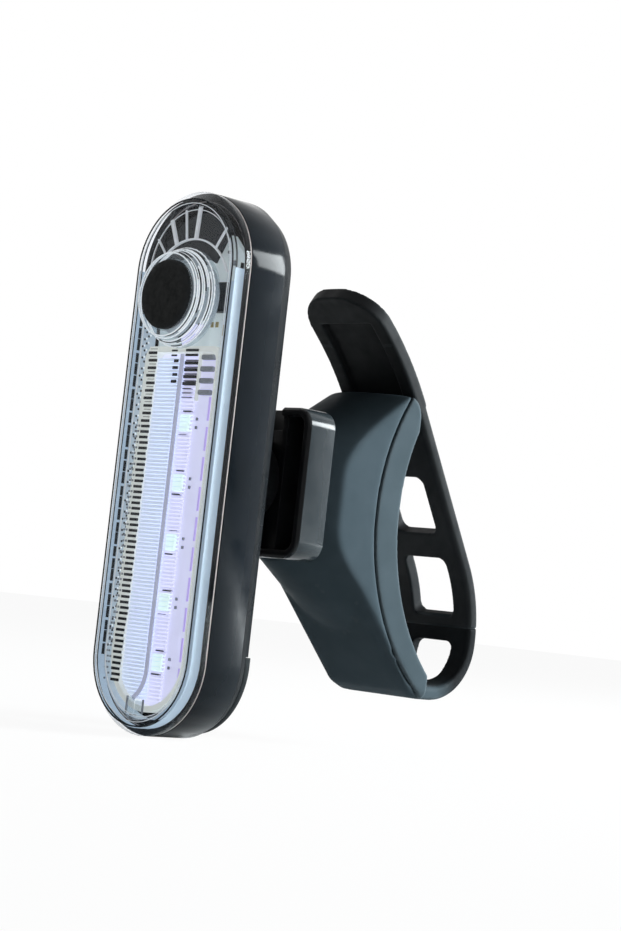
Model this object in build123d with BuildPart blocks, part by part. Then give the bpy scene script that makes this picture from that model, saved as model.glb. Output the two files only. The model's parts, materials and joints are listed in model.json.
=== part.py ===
from build123d import *
from math import asin, cos, degrees, radians, sin, sqrt, tan
import os

# A stadium-shaped bicycle rear light on a strap mount, in millimetres.
# X runs across the lamp, the lens faces -Y, Z is up, and the tube that the
# saddle straps onto runs along X behind it. The origin is the deepest point of
# the saddle's hollow face, which is where the tube touches.
os.makedirs("parts", exist_ok=True)

# Lamp housing and lens
lamp_length = 90.0
lamp_width = 26.3
lens_height = 3.0
rim_depth = 1.25
rim_inset = 0.65
housing_height = 10.0
bevel_depth = 2.6
bevel_inset = 1.2
wall = 1.5
floor_wall = 1.6
lens_front_wall = 1.2
spigot_wall = 1.1
spigot_depth = 1.6
fit_gap = 0.1
seal_height = 0.3
lamp_rise = 0.9

# Push button and the raised clear boss round it
button_setback = 18.0
button_radius = 5.75
button_proud = 0.5
button_gap = 0.25
boss_height = 3.2
boss_radius = 8.3
boss_top_radius = 6.9
flange_radius = 7.0
button_edge = 0.4
button_travel = 0.35
press_gap = 0.05

# Clear fan ribs over the button and the locating post at the lower end
fan_inner = 10.0
fan_height = 2.2
fan_rib = 0.7
fan_collar = 0.8
fan_angles = (131.0, 114.0, 100.0, 87.0, 56.0)
fan_start = 25.0
fan_sweep = 130.0
post_size = 3.0
post_setback = 4.4

# Circuit board and what is soldered to it
board_side_gap = 3.05
board_low_gap = 4.1
board_high_gap = 6.9
board_depth = 5.0
board_height = 1.0
board_corner = 4.5
led_count = 5
led_low_gap = 5.5
led_high_gap = 12.9
led_width = 2.8
led_length = 3.5
led_height = 0.8
led_lens = 2.0
led_lens_height = 0.2
switch_size = 5.2
switch_height = 2.0
plunger_radius = 1.5
plunger_proud = 0.5
plunger_length = 1.2
plunger_gap = 0.05
pocket_spare = 0.1
chip_size = 3.0
chip_length = 4.9
chip_height = 1.5
chip_gap = 1.3
chip_lift = 0.6
passive_size = 1.0
passive_length = 1.6
passive_height = 0.55
passive_count = 3
passive_pitch = 2.4
board_screw_radius = 0.8
board_screw_head = 1.5
board_screw_head_height = 0.9
board_screw_length = 4.2
board_screw_lift = 8.4
board_post_radius = 1.8

# Reflector tray and ribbed optic
tray_side_gap = 3.85
tray_wall = 1.0
tray_corner = 4.5
tray_floor = 0.6
tray_low_gap = 6.6
tray_high_gap = 7.4
tray_clearance = 0.3
window_width = 4.0
window_length = 4.8
optic_gap = 0.15
optic_height = 1.1
rib_pitch = 2.6
rib_height = 0.55
spine_width = 1.0
ledge_width = 1.2

# Battery cell and charging port
cell_side_gap = 4.65
cell_low_gap = 22.0
cell_high_gap = 26.0
cell_front_gap = 0.3
cell_edge = 1.2
tape_height = 0.3
tape_margin = 1.5
tab_width = 2.5
tab_length = 6.0
tab_height = 0.15
tab_pitch = 9.0
port_setback = 9.0
port_width = 8.94
port_height = 3.26
port_shell = 0.3
port_tongue = 0.7
port_tongue_width = 6.6
port_tongue_short = 1.7
port_gap = 0.2

# Silicone port cover on the lower end of the back
cover_depth = 0.9
cover_proud = 0.6
cover_length = 14.6
cover_gap = 0.1
cover_edge = 0.5
cover_root = 4.0
cover_root_width = 14.0
cover_plug_width = 6.4
cover_plug_height = 1.3
cover_plug_depth = 1.2
cover_lip_width = 8.0
cover_lip_height = 1.4
cover_lip_rise = 1.8
cover_lip_proud = 0.5

# Swivel between the lamp's back and the dock foot
swivel_gap = 7.4
swivel_radius = 4.0
swivel_height = 3.2
swivel_fit = 0.08
insert_radius = 2.1
insert_height = 3.0
screw_radius = 1.25
screw_head_radius = 2.5
screw_head_height = 1.6
screw_clear = 0.2
washer_height = 0.4
washer_gap = 0.05
hub_radius = 7.0
hub_wall = 1.9
hub_rise_gap = 0.2

# Dock block and the foot that slides into it
dock_size = 25.4
dock_radius = 3.2
dock_wall = 1.4
dock_edge = 0.5
dock_height = 6.1
dock_floor = 1.5
dock_rise = 2.3
rail_width = 1.3
rail_lip = 1.9
rail_lip_height = 1.3
rail_setback = 0.6
neck_width = 6.8
plate_width = 10.6
plate_length = 18.0
plate_height = 2.1
slide_gap = 0.3
stop_gap = 0.1
leaf_width = 2.4
leaf_length = 11.0
leaf_height = 0.3
leaf_lift = 0.4
leaf_foot = 1.2
leaf_pocket = 0.8
leaf_bump = 0.9
bump_proud = 0.25
leaf_drop = 4.3
leaf_gap = 0.25
dock_screw_radius = 1.0
dock_screw_head = 1.9
dock_screw_sink = 0.9
dock_screw_length = 8.0
dock_screw_span = 7.2
driver_depth = 0.5

# Saddle: a hard body with a silicone liner that carries on as the strap
saddle_width = 20.6
saddle_height = 20.5
tube_radius = 38.3
neck_width_side = 13.8
neck_low = -10.6
neck_high = 11.8
neck_taper = 30.0
crown_lift = 5.94
tip_reach = 3.0
tip_radius = 3.6
horn_depth = 0.8
horn_lift = 4.24
horn_slope = 48.5
tail_set = 3.75
tail_slope = 46.7
bow_radius = 19.0
liner_top_reach = 0.6
liner_depth = 5.6
liner_rise = 1.5
liner_set = 0.65
saddle_edge = 2.0
tail_edge = 1.8
hook_width = 5.4
hook_height = 3.0
hook_gap = 0.4
hook_depth = 1.3
hook_reach = 0.4
hook_head_width = 8.0
hook_head_height = 3.8
hook_head = 1.4
hook_drop = 0.3
hook_edge = 0.4
hook_corner = 1.0

# Strap with its ladder of holes and its pull tab
strap_width = 18.0
strap_height = 2.4
strap_loop = 13.55
strap_low = -32.0
strap_bend = 10.8
strap_swell = 26.0
ladder_lean = 31.2
ladder_foot = -13.2
ladder_top = 19.8
tab_curl = 57.9
tab_reach = 25.4
tab_round = 7.8
hole_width = 9.8
hole_length = 11.2
hole_radius = 1.6
hole_pitch = 16.1
hole_count = 2
hole_first = 3.78
hook_hole_length = 8.3
hook_hole_rise = 16.2
root_hole_low = -28.6
root_hole_high = -21.2
flex_line = -18.3
flex_gap = 0.1
recess_width = 12.0
recess_depth = 0.9
recess_start = 1.6
recess_end = 6.6
grip_width = 12.0
grip_length = 8.4
grip_height = 1.6
grip_start = 4.2
grip_ridges = 5
grip_ridge = 0.5
ridge_share = 0.25
strap_edge = 0.5
heel_rise = 1.9

# Depths and heights that follow from the sizes above
overrun = 5.0
dock_back = -saddle_height
dock_front = dock_back - dock_height
dock_face = dock_back - dock_floor
back_face = dock_front - swivel_gap
seam = back_face - housing_height
lens_front = seam - lens_height
lamp_mid = dock_rise + lamp_rise
lamp_low = lamp_mid - lamp_length / 2
lamp_high = lamp_mid + lamp_length / 2
lamp_radius = lamp_width / 2
board_front = lens_front + board_depth
board_back = board_front + board_height
inner_floor = back_face - floor_wall
button_z = lamp_high - button_setback
board_screw_z = button_z + board_screw_lift
cover_top = lamp_low + cover_length
port_z = lamp_low + port_setback
neck_mid = (neck_low + neck_high) / 2


def facing(y, z=0.0):
    """A plane at depth y and height z that looks to the front."""
    return Plane(origin=(0, y, z), x_dir=(1, 0, 0), z_dir=(0, -1, 0))


def stadium(inset, mode=Mode.ADD):
    """The lamp's outline, drawn in by an inset."""
    return SlotOverall(lamp_length - 2 * inset, lamp_width - 2 * inset, rotation=90, mode=mode)


def cut_rectangle(width, length, corner, inset=0.0):
    """A rectangle with cut corners, drawn in evenly by an inset."""
    side = width / 2 - inset
    end = length / 2 - inset
    cut = corner - inset * (2 - sqrt(2))
    return Polygon(
        (side, end - cut),
        (side - cut, end),
        (cut - side, end),
        (-side, end - cut),
        (-side, cut - end),
        (cut - side, -end),
        (side - cut, -end),
        (side, cut - end),
    )


# Rear housing: a shell with a bevelled back, a board post and the swivel boss
post_top = board_back
boss_end = back_face + swivel_height
step_face = back_face - cover_depth
with BuildPart() as rear_housing:
    with BuildSketch(facing(back_face, lamp_mid)):
        stadium(0)
    extrude(amount=housing_height)
    chamfer(rear_housing.faces().sort_by(Axis.Y)[-1].edges(), length=bevel_depth, length2=bevel_inset)
    with BuildSketch(facing(inner_floor, lamp_mid)):
        stadium(wall)
    extrude(amount=housing_height, mode=Mode.SUBTRACT)
    with BuildSketch(facing(inner_floor, board_screw_z)):
        RegularPolygon(board_post_radius, 6)
    extrude(amount=inner_floor - post_top)
    with BuildSketch(facing(post_top, board_screw_z)):
        Circle(board_screw_radius)
    extrude(amount=post_top - inner_floor, mode=Mode.SUBTRACT)
    with BuildSketch(facing(boss_end, dock_rise)):
        Circle(swivel_radius)
    extrude(amount=swivel_height)
    with BuildSketch(facing(boss_end, dock_rise)):
        RegularPolygon(insert_radius, 6)
    extrude(amount=insert_height, mode=Mode.SUBTRACT)
    with BuildSketch(facing(step_face, cover_top)):
        Rectangle(lamp_width, lamp_length, align=(Align.CENTER, Align.MAX))
    extrude(amount=-overrun, mode=Mode.SUBTRACT)
    with BuildSketch(facing(step_face, cover_top + cover_root / 2)):
        Rectangle(cover_root_width + 2 * cover_gap, cover_root + 2 * cover_gap)
    extrude(amount=-overrun, mode=Mode.SUBTRACT)
    with BuildSketch(facing(inner_floor, port_z)):
        SlotOverall(port_width + 2 * port_gap, port_height + 2 * port_gap)
    extrude(amount=-floor_wall, mode=Mode.SUBTRACT)
rear_housing.part.label = "rear_housing"

# Seal in the seam between the lens and the housing
seal_face = seam - seal_height
with BuildPart() as lens_seal:
    with BuildSketch(facing(seam, lamp_mid)):
        stadium(fit_gap)
        stadium(wall, Mode.SUBTRACT)
    extrude(amount=seal_height)
lens_seal.part.label = "lens_seal"

# Lens cover: a clear tray with a bevelled rim, a button boss, ribs and a post
spigot_inset = wall + fit_gap
cavity_inset = spigot_inset + spigot_wall
lens_inner = lens_front + lens_front_wall
hole_radius_button = button_radius + button_gap
fan_lift = button_setback - lamp_radius
with BuildPart() as lens_cover:
    with BuildSketch(facing(seal_face, lamp_mid)):
        stadium(0)
    extrude(amount=seal_face - lens_front)
    chamfer(lens_cover.faces().sort_by(Axis.Y)[0].edges(), length=rim_depth, length2=rim_inset)
    with BuildSketch(facing(seal_face, lamp_mid)):
        stadium(spigot_inset)
    extrude(amount=-(seal_height + spigot_depth))
    with BuildSketch(facing(seam + spigot_depth, lamp_mid)):
        stadium(cavity_inset)
    extrude(amount=seam + spigot_depth - lens_inner, mode=Mode.SUBTRACT)
    with BuildSketch(Plane.YZ):
        with BuildLine():
            Polyline(
                (lens_inner, button_z),
                (lens_inner, button_z + boss_radius),
                (lens_front, button_z + boss_radius),
                (lens_front - boss_height, button_z + boss_top_radius),
                (lens_front - boss_height, button_z),
                close=True,
            )
        make_face()
    revolve(axis=Axis((0, 0, button_z), (0, 1, 0)))
    with BuildSketch(facing(lens_inner, button_z)):
        Circle(hole_radius_button)
    extrude(amount=boss_height + lens_front_wall + overrun, mode=Mode.SUBTRACT)
    with BuildSketch(facing(lens_inner + fan_height, button_z)):
        with BuildLine():
            CenterArc((0, 0), fan_inner, fan_start, fan_sweep)
        trace(line_width=fan_collar)
    extrude(amount=fan_height)
    for angle in fan_angles:
        run = sqrt((lamp_radius - cavity_inset) ** 2 - (fan_lift * cos(radians(angle))) ** 2)
        rib_end = fan_lift * sin(radians(angle)) + run
        rib_length = rib_end - fan_inner + spigot_wall / 2
        with BuildSketch(facing(lens_inner + fan_height, button_z)):
            with PolarLocations(fan_inner, 1, start_angle=angle):
                Rectangle(rib_length, fan_rib, align=(Align.MIN, Align.CENTER))
        extrude(amount=fan_height)
    with BuildSketch(facing(board_front, lamp_low + post_setback)):
        Rectangle(post_size, post_size)
    extrude(amount=board_front - lens_inner)
lens_cover.part.label = "lens_cover"

# Button cap: a rubber button with a flange that stays under the lens
button_face = lens_front - boss_height - button_proud
switch_face = board_front - switch_height
plunger_face = switch_face - plunger_proud
with BuildPart() as button_cap:
    with BuildSketch(facing(lens_inner + press_gap, button_z)):
        Circle(button_radius)
    extrude(amount=lens_inner + press_gap - button_face)
    chamfer(button_cap.faces().sort_by(Axis.Y)[0].edges(), length=button_edge)
    with BuildSketch(facing(plunger_face - press_gap, button_z)):
        Circle(flange_radius)
    extrude(amount=plunger_face - press_gap - lens_inner - press_gap)
button_cap.part.label = "button_cap"

# Circuit board with cut corners and a hole for its screw
board_length = lamp_length - board_low_gap - board_high_gap
board_width = lamp_width - 2 * board_side_gap
with BuildPart() as circuit_board:
    with BuildSketch(facing(board_back, lamp_low + board_low_gap + board_length / 2)):
        cut_rectangle(board_width, board_length, board_corner)
    extrude(amount=board_height)
    with BuildSketch(facing(board_back, board_screw_z)):
        Circle(board_screw_radius + fit_gap)
    extrude(amount=board_height, mode=Mode.SUBTRACT)
circuit_board.part.label = "circuit_board"

# Light-emitting chips in a column, each with a low lens
tray_low = lamp_low + tray_low_gap
tray_high = button_z - tray_high_gap
tray_length = tray_high - tray_low
led_first = tray_low + led_low_gap
led_pitch = (tray_high - led_high_gap - led_first) / (led_count - 1)
with BuildPart() as led_chips:
    for led in range(led_count):
        led_z = led_first + led * led_pitch
        with BuildSketch(facing(board_front, led_z)):
            Rectangle(led_width, led_length)
        extrude(amount=led_height)
        with BuildSketch(facing(board_front - led_height, led_z)):
            Rectangle(led_lens, led_lens)
        extrude(amount=led_lens_height)
led_chips.part.label = "led_chips"

# Tact switch and its plunger
pocket_depth = plunger_length - plunger_proud + button_travel + pocket_spare
with BuildPart() as switch_base:
    with BuildSketch(facing(board_front, button_z)):
        Rectangle(switch_size, switch_size)
    extrude(amount=switch_height)
    with BuildSketch(facing(switch_face, button_z)):
        Circle(plunger_radius + plunger_gap)
    extrude(amount=-pocket_depth, mode=Mode.SUBTRACT)
switch_base.part.label = "switch_base"

with BuildPart() as switch_plunger:
    with BuildSketch(facing(plunger_face, button_z)):
        Circle(plunger_radius)
    extrude(amount=-plunger_length)
switch_plunger.part.label = "switch_plunger"

# Driver chip and the small parts on the switch's other side
chip_place = switch_size / 2 + chip_gap + chip_size / 2
with BuildPart() as board_chips:
    with BuildSketch(facing(board_front, button_z + chip_lift)):
        with Locations((chip_place, 0)):
            Rectangle(chip_size, chip_length)
    extrude(amount=chip_height)
    with BuildSketch(facing(board_front, button_z + chip_lift)):
        with Locations((-chip_place, 0)):
            with GridLocations(0, passive_pitch, 1, passive_count):
                Rectangle(passive_length, passive_size)
    extrude(amount=passive_height)
board_chips.part.label = "board_chips"

# Screw that holds the board's upper end to the housing's post
with BuildPart() as board_screw:
    with BuildSketch(facing(board_front, board_screw_z)):
        Circle(board_screw_radius)
    extrude(amount=-board_screw_length)
    with BuildSketch(facing(board_front, board_screw_z)):
        RegularPolygon(board_screw_head, 6)
    extrude(amount=board_screw_head_height)
board_screw.part.label = "board_screw"

# White reflector tray: a walled tray with cut corners and a window over each chip
tray_mid = (tray_low + tray_high) / 2
tray_width = lamp_width - 2 * tray_side_gap
tray_back = board_front - press_gap
tray_front = lens_inner + tray_clearance
ledge_face = tray_front + optic_height
tray_rim = tray_wall + ledge_width
with BuildPart() as reflector_tray:
    with BuildSketch(facing(tray_back, tray_mid)):
        cut_rectangle(tray_width, tray_length, tray_corner)
    extrude(amount=tray_back - tray_front)
    with BuildSketch(facing(tray_back - tray_floor, tray_mid)):
        cut_rectangle(tray_width, tray_length, tray_corner, tray_rim)
    extrude(amount=tray_back - tray_front, mode=Mode.SUBTRACT)
    with BuildSketch(facing(ledge_face, tray_mid)):
        cut_rectangle(tray_width, tray_length, tray_corner, tray_wall)
    extrude(amount=optic_height + overrun, mode=Mode.SUBTRACT)
    for led in range(led_count):
        with BuildSketch(facing(tray_back, led_first + led * led_pitch)):
            Rectangle(window_width, window_length)
        extrude(amount=tray_floor + overrun, mode=Mode.SUBTRACT)
reflector_tray.part.label = "reflector_tray"

# Ribbed optic: a clear plate that rests on the tray's ledge, ribs to the back
rib_width = tray_width - 2 * (tray_rim + optic_gap)
rib_count = int((tray_length - 2 * (tray_rim + tray_corner)) / rib_pitch)
with BuildPart() as prism_optic:
    with BuildSketch(facing(ledge_face, tray_mid)):
        cut_rectangle(tray_width, tray_length, tray_corner, tray_wall + optic_gap)
    extrude(amount=optic_height)
    with BuildSketch(Plane.YZ):
        with Locations((ledge_face, tray_mid)):
            with GridLocations(0, rib_pitch, 1, rib_count):
                Polygon(
                    (-optic_height / 2, -rib_pitch / 2),
                    (rib_height, 0),
                    (-optic_height / 2, rib_pitch / 2),
                    align=None,
                )
    extrude(amount=rib_width / 2, both=True)
    with BuildSketch(facing(ledge_face + rib_height, tray_mid)):
        Rectangle(spine_width, rib_count * rib_pitch)
    extrude(amount=rib_height)
prism_optic.part.label = "prism_optic"

# Battery cell on its tape, with two tabs up to the board
tape_face = inner_floor - tape_height
cell_width = lamp_width - 2 * cell_side_gap
cell_length = lamp_length - cell_low_gap - cell_high_gap
cell_top = lamp_high - cell_high_gap
cell_mid = cell_top - cell_length / 2
with BuildPart() as battery_tape:
    with BuildSketch(facing(inner_floor, cell_mid)):
        Rectangle(cell_width - 2 * tape_margin, cell_length - 2 * tape_margin)
    extrude(amount=tape_height)
battery_tape.part.label = "battery_tape"

with BuildPart() as battery_cell:
    with BuildSketch(facing(tape_face, cell_mid)):
        Rectangle(cell_width, cell_length)
    extrude(amount=tape_face - board_back - cell_front_gap)
    chamfer(battery_cell.edges().filter_by(Axis.Z), length=cell_edge)
battery_cell.part.label = "battery_cell"

with BuildPart() as battery_tabs:
    with BuildSketch(facing(board_back + tab_height, cell_top)):
        with GridLocations(tab_pitch, 0, 2, 1):
            Rectangle(tab_width, tab_length)
    extrude(amount=tab_height)
battery_tabs.part.label = "battery_tabs"

# Charging socket: a metal shell round a plastic tongue
with BuildPart() as port_socket:
    with BuildSketch(facing(step_face, port_z)):
        SlotOverall(port_width, port_height)
    extrude(amount=step_face - board_back)
    with BuildSketch(facing(step_face, port_z)):
        SlotOverall(port_width - 2 * port_shell, port_height - 2 * port_shell)
    extrude(amount=step_face - board_back - port_shell - board_height, mode=Mode.SUBTRACT)
    with BuildSketch(facing(step_face - port_tongue_short, port_z)):
        Rectangle(port_tongue_width, port_tongue)
    extrude(amount=step_face - board_back - port_tongue_short)
port_socket.part.label = "port_socket"

# Port cover: a rooted silicone strip and the flap that it carries
cover_face = back_face + cover_proud
cover_inset = bevel_inset * (bevel_depth - cover_depth) / bevel_depth
cover_low = lamp_low + cover_inset
with BuildPart() as cover_tether:
    with BuildSketch(facing(cover_face, cover_top + cover_root / 2)):
        Rectangle(cover_root_width, cover_root)
    extrude(amount=cover_face - step_face)
    chamfer(cover_tether.faces().sort_by(Axis.Y)[-1].edges().sort_by(Axis.Z)[1:], length=cover_edge)
cover_tether.part.label = "cover_tether"

with BuildPart() as port_cover:
    with BuildSketch(facing(cover_face, lamp_mid)):
        stadium(cover_inset)
        with Locations((0, cover_top - cover_gap - lamp_mid)):
            Rectangle(lamp_width, lamp_length, align=(Align.CENTER, Align.MIN), mode=Mode.SUBTRACT)
    extrude(amount=cover_face - step_face)
    chamfer(port_cover.faces().sort_by(Axis.Y)[-1].edges().sort_by(Axis.Z)[:-1], length=cover_edge)
    with BuildSketch(facing(step_face, port_z)):
        Rectangle(cover_plug_width, cover_plug_height)
    extrude(amount=cover_plug_depth)
    with BuildSketch(facing(cover_face + cover_lip_proud, cover_low + cover_lip_rise)):
        Rectangle(cover_lip_width, cover_lip_height)
    extrude(amount=cover_lip_proud + cover_edge)
port_cover.part.label = "port_cover"

# Swivel insert, screw and washer, which stay with the lamp
with BuildPart() as swivel_insert:
    with BuildSketch(facing(boss_end, dock_rise)):
        RegularPolygon(insert_radius, 6)
        Circle(screw_radius, mode=Mode.SUBTRACT)
    extrude(amount=insert_height)
swivel_insert.part.label = "swivel_insert"

washer_front = boss_end + swivel_fit + hub_wall + washer_gap
washer_back = washer_front + washer_height
with BuildPart() as swivel_washer:
    with BuildSketch(facing(washer_back, dock_rise)):
        Circle(screw_head_radius)
        Circle(screw_radius, mode=Mode.SUBTRACT)
    extrude(amount=washer_height)
swivel_washer.part.label = "swivel_washer"

screw_face = washer_back + screw_head_height
with BuildPart() as swivel_screw:
    with BuildSketch(facing(screw_face, dock_rise)):
        RegularPolygon(screw_head_radius, 6)
    extrude(amount=screw_head_height)
    with BuildSketch(facing(washer_back, dock_rise)):
        Circle(screw_radius)
    extrude(amount=washer_back - boss_end + insert_height)
    with BuildSketch(facing(screw_face, dock_rise)):
        RegularPolygon(screw_radius, 6)
    extrude(amount=driver_depth, mode=Mode.SUBTRACT)
swivel_screw.part.label = "swivel_screw"

# Dock foot: a hub that turns on the lamp's boss and a T that slides in the dock
hub_front = back_face + hub_rise_gap
hub_back = dock_front - hub_rise_gap
plate_back = dock_face - slide_gap
dock_low = dock_rise - dock_size / 2 + dock_wall
plate_low = dock_low + stop_gap
leaf_face = dock_face + leaf_pocket - leaf_lift - leaf_height
leaf_mid = dock_rise - leaf_drop
with BuildPart() as dock_foot:
    with BuildSketch(facing(hub_back, dock_rise)):
        Circle(hub_radius)
    extrude(amount=hub_back - hub_front)
    with BuildSketch(facing(plate_back, plate_low + plate_length / 2)):
        Rectangle(neck_width, plate_length)
    extrude(amount=plate_back - hub_back)
    with BuildSketch(facing(plate_back, plate_low + plate_length / 2)):
        Rectangle(plate_width, plate_length)
    extrude(amount=plate_height)
    with BuildSketch(facing(boss_end + swivel_fit, dock_rise)):
        Circle(swivel_radius + swivel_fit)
    extrude(amount=swivel_height + swivel_fit, mode=Mode.SUBTRACT)
    with BuildSketch(facing(plate_back, dock_rise)):
        Circle(screw_radius + screw_clear)
    extrude(amount=plate_back - boss_end, mode=Mode.SUBTRACT)
    with BuildSketch(facing(plate_back, dock_rise)):
        Circle(screw_head_radius + screw_clear)
    extrude(amount=plate_back - washer_front + washer_gap, mode=Mode.SUBTRACT)
    with BuildSketch(Plane.YZ):
        with Locations((leaf_face, leaf_mid)):
            Circle(leaf_bump + leaf_gap)
    extrude(amount=plate_width, both=True, mode=Mode.SUBTRACT)
dock_foot.part.label = "dock_foot"

# Dock block: a square tray with a rail on each side and a way in from the top
dock_inner = dock_size - 2 * dock_wall
rail_inside = plate_width / 2 + slide_gap
rail_front = dock_front + rail_setback
with BuildPart() as dock_block:
    with BuildSketch(facing(dock_back, dock_rise)):
        RectangleRounded(dock_size, dock_size, dock_radius)
    extrude(amount=dock_height)
    chamfer(dock_block.faces().sort_by(Axis.Y)[0].edges(), length=dock_edge)
    with BuildSketch(facing(dock_face, dock_rise)):
        RectangleRounded(dock_inner, dock_inner, dock_radius - dock_wall)
    extrude(amount=dock_height, mode=Mode.SUBTRACT)
    with BuildSketch(facing(dock_face, dock_rise)):
        with GridLocations(2 * rail_inside + rail_width, 0, 2, 1):
            Rectangle(rail_width, dock_inner)
    extrude(amount=dock_face - rail_front)
    with BuildSketch(facing(rail_front + rail_lip_height, dock_rise)):
        with GridLocations(2 * rail_inside - rail_lip, 0, 2, 1):
            Rectangle(rail_lip, dock_inner)
    extrude(amount=rail_lip_height)
    with BuildSketch(facing(dock_face, dock_rise + dock_size / 2)):
        Rectangle(2 * rail_inside, 2 * dock_wall + overrun)
    extrude(amount=dock_height, mode=Mode.SUBTRACT)
    with BuildSketch(facing(dock_back, neck_mid)):
        with GridLocations(dock_screw_span, 0, 2, 1):
            Circle(dock_screw_radius + fit_gap)
    extrude(amount=dock_floor, mode=Mode.SUBTRACT)
    with BuildSketch(facing(dock_face, neck_mid)):
        with GridLocations(dock_screw_span, 0, 2, 1):
            RegularPolygon(dock_screw_head, 6)
    extrude(amount=-dock_screw_sink, mode=Mode.SUBTRACT)
    with BuildSketch(facing(dock_face, leaf_mid)):
        Rectangle(leaf_width + 2 * leaf_gap, leaf_length + 2 * leaf_gap)
    extrude(amount=-leaf_pocket, mode=Mode.SUBTRACT)
dock_block.part.label = "dock_block"

# Detent leaf: a steel strip on two feet with a low bump under the foot's groove
with BuildPart() as detent_leaf:
    with BuildSketch(facing(leaf_face + leaf_height, leaf_mid)):
        Rectangle(leaf_width, leaf_length)
    extrude(amount=leaf_height)
    with BuildSketch(facing(leaf_face + leaf_height + leaf_lift, leaf_mid)):
        with GridLocations(0, leaf_length - leaf_foot, 1, 2):
            Rectangle(leaf_width, leaf_foot)
    extrude(amount=leaf_lift)
    with BuildSketch(Plane.YZ):
        with Locations((leaf_face + leaf_bump - bump_proud, leaf_mid)):
            Circle(leaf_bump)
        with Locations((leaf_face, leaf_mid)):
            Rectangle(
                2 * leaf_bump, 2 * leaf_bump, align=(Align.MIN, Align.CENTER), mode=Mode.SUBTRACT
            )
    extrude(amount=leaf_width / 2, both=True)
detent_leaf.part.label = "detent_leaf"

# Screws that hold the block to the saddle, their hexagonal heads sunk in its floor
with BuildPart() as dock_screws:
    with BuildSketch(facing(dock_face + dock_screw_sink, neck_mid)):
        with GridLocations(dock_screw_span, 0, 2, 1):
            RegularPolygon(dock_screw_head - fit_gap, 6)
    extrude(amount=dock_screw_sink - fit_gap)
    with BuildSketch(facing(dock_face + dock_screw_sink, neck_mid)):
        with GridLocations(dock_screw_span, 0, 2, 1):
            Circle(dock_screw_radius)
    extrude(amount=dock_screw_sink - dock_screw_length)
dock_screws.part.label = "dock_screws"


def tube_depth(z):
    """Depth of the saddle's hollow face at a height."""
    return tube_radius - sqrt(tube_radius**2 - z**2)


def polar_point(middle, radius, angle):
    """A point on a circle in the side view, by its angle up from the back."""
    return (middle[0] + radius * cos(radians(angle)), middle[1] + radius * sin(radians(angle)))


def swell_point(angle, depth):
    """A point on the strap's upper curve, a depth in from its outer face."""
    return polar_point(swell_mid, strap_swell - depth, angle)


def tab_band(start, end, outer_depth, inner_depth):
    """The edges of a band of the curled tab, between two runs and two depths."""
    angles = [ladder_lean + degrees(run / tab_curl) for run in (start, end)]
    outer = tab_curl - outer_depth
    inner = tab_curl - inner_depth
    with BuildLine() as band:
        CenterArc(curl_mid, outer, angles[0], angles[1] - angles[0])
        Line(polar_point(curl_mid, outer, angles[1]), polar_point(curl_mid, inner, angles[1]))
        CenterArc(curl_mid, inner, angles[1], angles[0] - angles[1])
        Line(polar_point(curl_mid, inner, angles[0]), polar_point(curl_mid, outer, angles[0]))
    return band.edges()


def up_strap(point, lean, run):
    """The point a run further up the strap, where it leans forward by an angle."""
    return (point[0] - run * sin(radians(lean)), point[1] + run * cos(radians(lean)))


def strap_plane(point, lean, lift=0.0):
    """A plane on the strap's outer face that looks out, with local y down the strap."""
    out = (0, cos(radians(lean)), sin(radians(lean)))
    place = (0, point[0] + lift * out[1], point[1] + lift * out[2])
    return Plane(origin=place, x_dir=(1, 0, 0), z_dir=out)


# Side outline of the saddle, its front bowed between two straight slopes
heel_low = strap_low + strap_height + heel_rise
heel_reach = tube_depth(heel_low)
tail_start = (heel_reach - tail_set, strap_low)
tip_low = sqrt(tube_radius**2 - (tube_radius - tip_reach) ** 2)
crown_height = tip_low + crown_lift
horn_start = (-horn_depth, tip_low + horn_lift)
horn_fall = (cos(radians(horn_slope)), sin(radians(horn_slope)))
tail_ratio = tan(radians(tail_slope))
bow_run = horn_start[1] - tail_start[1] - (tail_start[0] - horn_start[0]) * tail_ratio
bow_run = bow_run / (horn_fall[1] + horn_fall[0] * tail_ratio)
bow_corner = (horn_start[0] - bow_run * horn_fall[0], horn_start[1] - bow_run * horn_fall[1])
strap_back = heel_reach + strap_loop
swell_mid = (strap_back - strap_swell, ladder_foot - strap_swell * tan(radians(ladder_lean / 2)))
bend_mid = (strap_back - strap_bend, strap_low + strap_bend)
flex_angle = degrees(asin((flex_line - swell_mid[1]) / strap_swell))
root_angle = flex_angle - degrees(flex_gap / strap_swell)
ladder_start = swell_point(ladder_lean, 0)
ladder_run = (ladder_top - ladder_start[1]) / cos(radians(ladder_lean))
ladder_end = up_strap(ladder_start, ladder_lean, ladder_run)
hole_run = (hole_first - ladder_start[1]) / cos(radians(ladder_lean))
hook_run = (hook_hole_rise - ladder_start[1]) / cos(radians(ladder_lean))
curl_mid = polar_point(ladder_end, -tab_curl, ladder_lean)
tab_end_angle = ladder_lean + degrees(tab_reach / tab_curl)
tab_end = polar_point(curl_mid, tab_curl, tab_end_angle)

# Outline that the saddle's top and sides are trimmed to
with BuildPart() as saddle_clip:
    with BuildSketch(Plane.YZ) as crown_side:
        with BuildLine():
            Polyline(
                (tip_reach, crown_height),
                (dock_back - overrun, crown_height),
                (dock_back - overrun, strap_low - overrun),
                (strap_back, strap_low - overrun),
                (strap_back, 0),
                (tip_reach, 0),
                close=True,
            )
        make_face()
        fillet(crown_side.vertices().group_by(Axis.Y)[-1].sort_by(Axis.X)[-1], radius=tip_radius)
    extrude(amount=saddle_width / 2, both=True)

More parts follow.
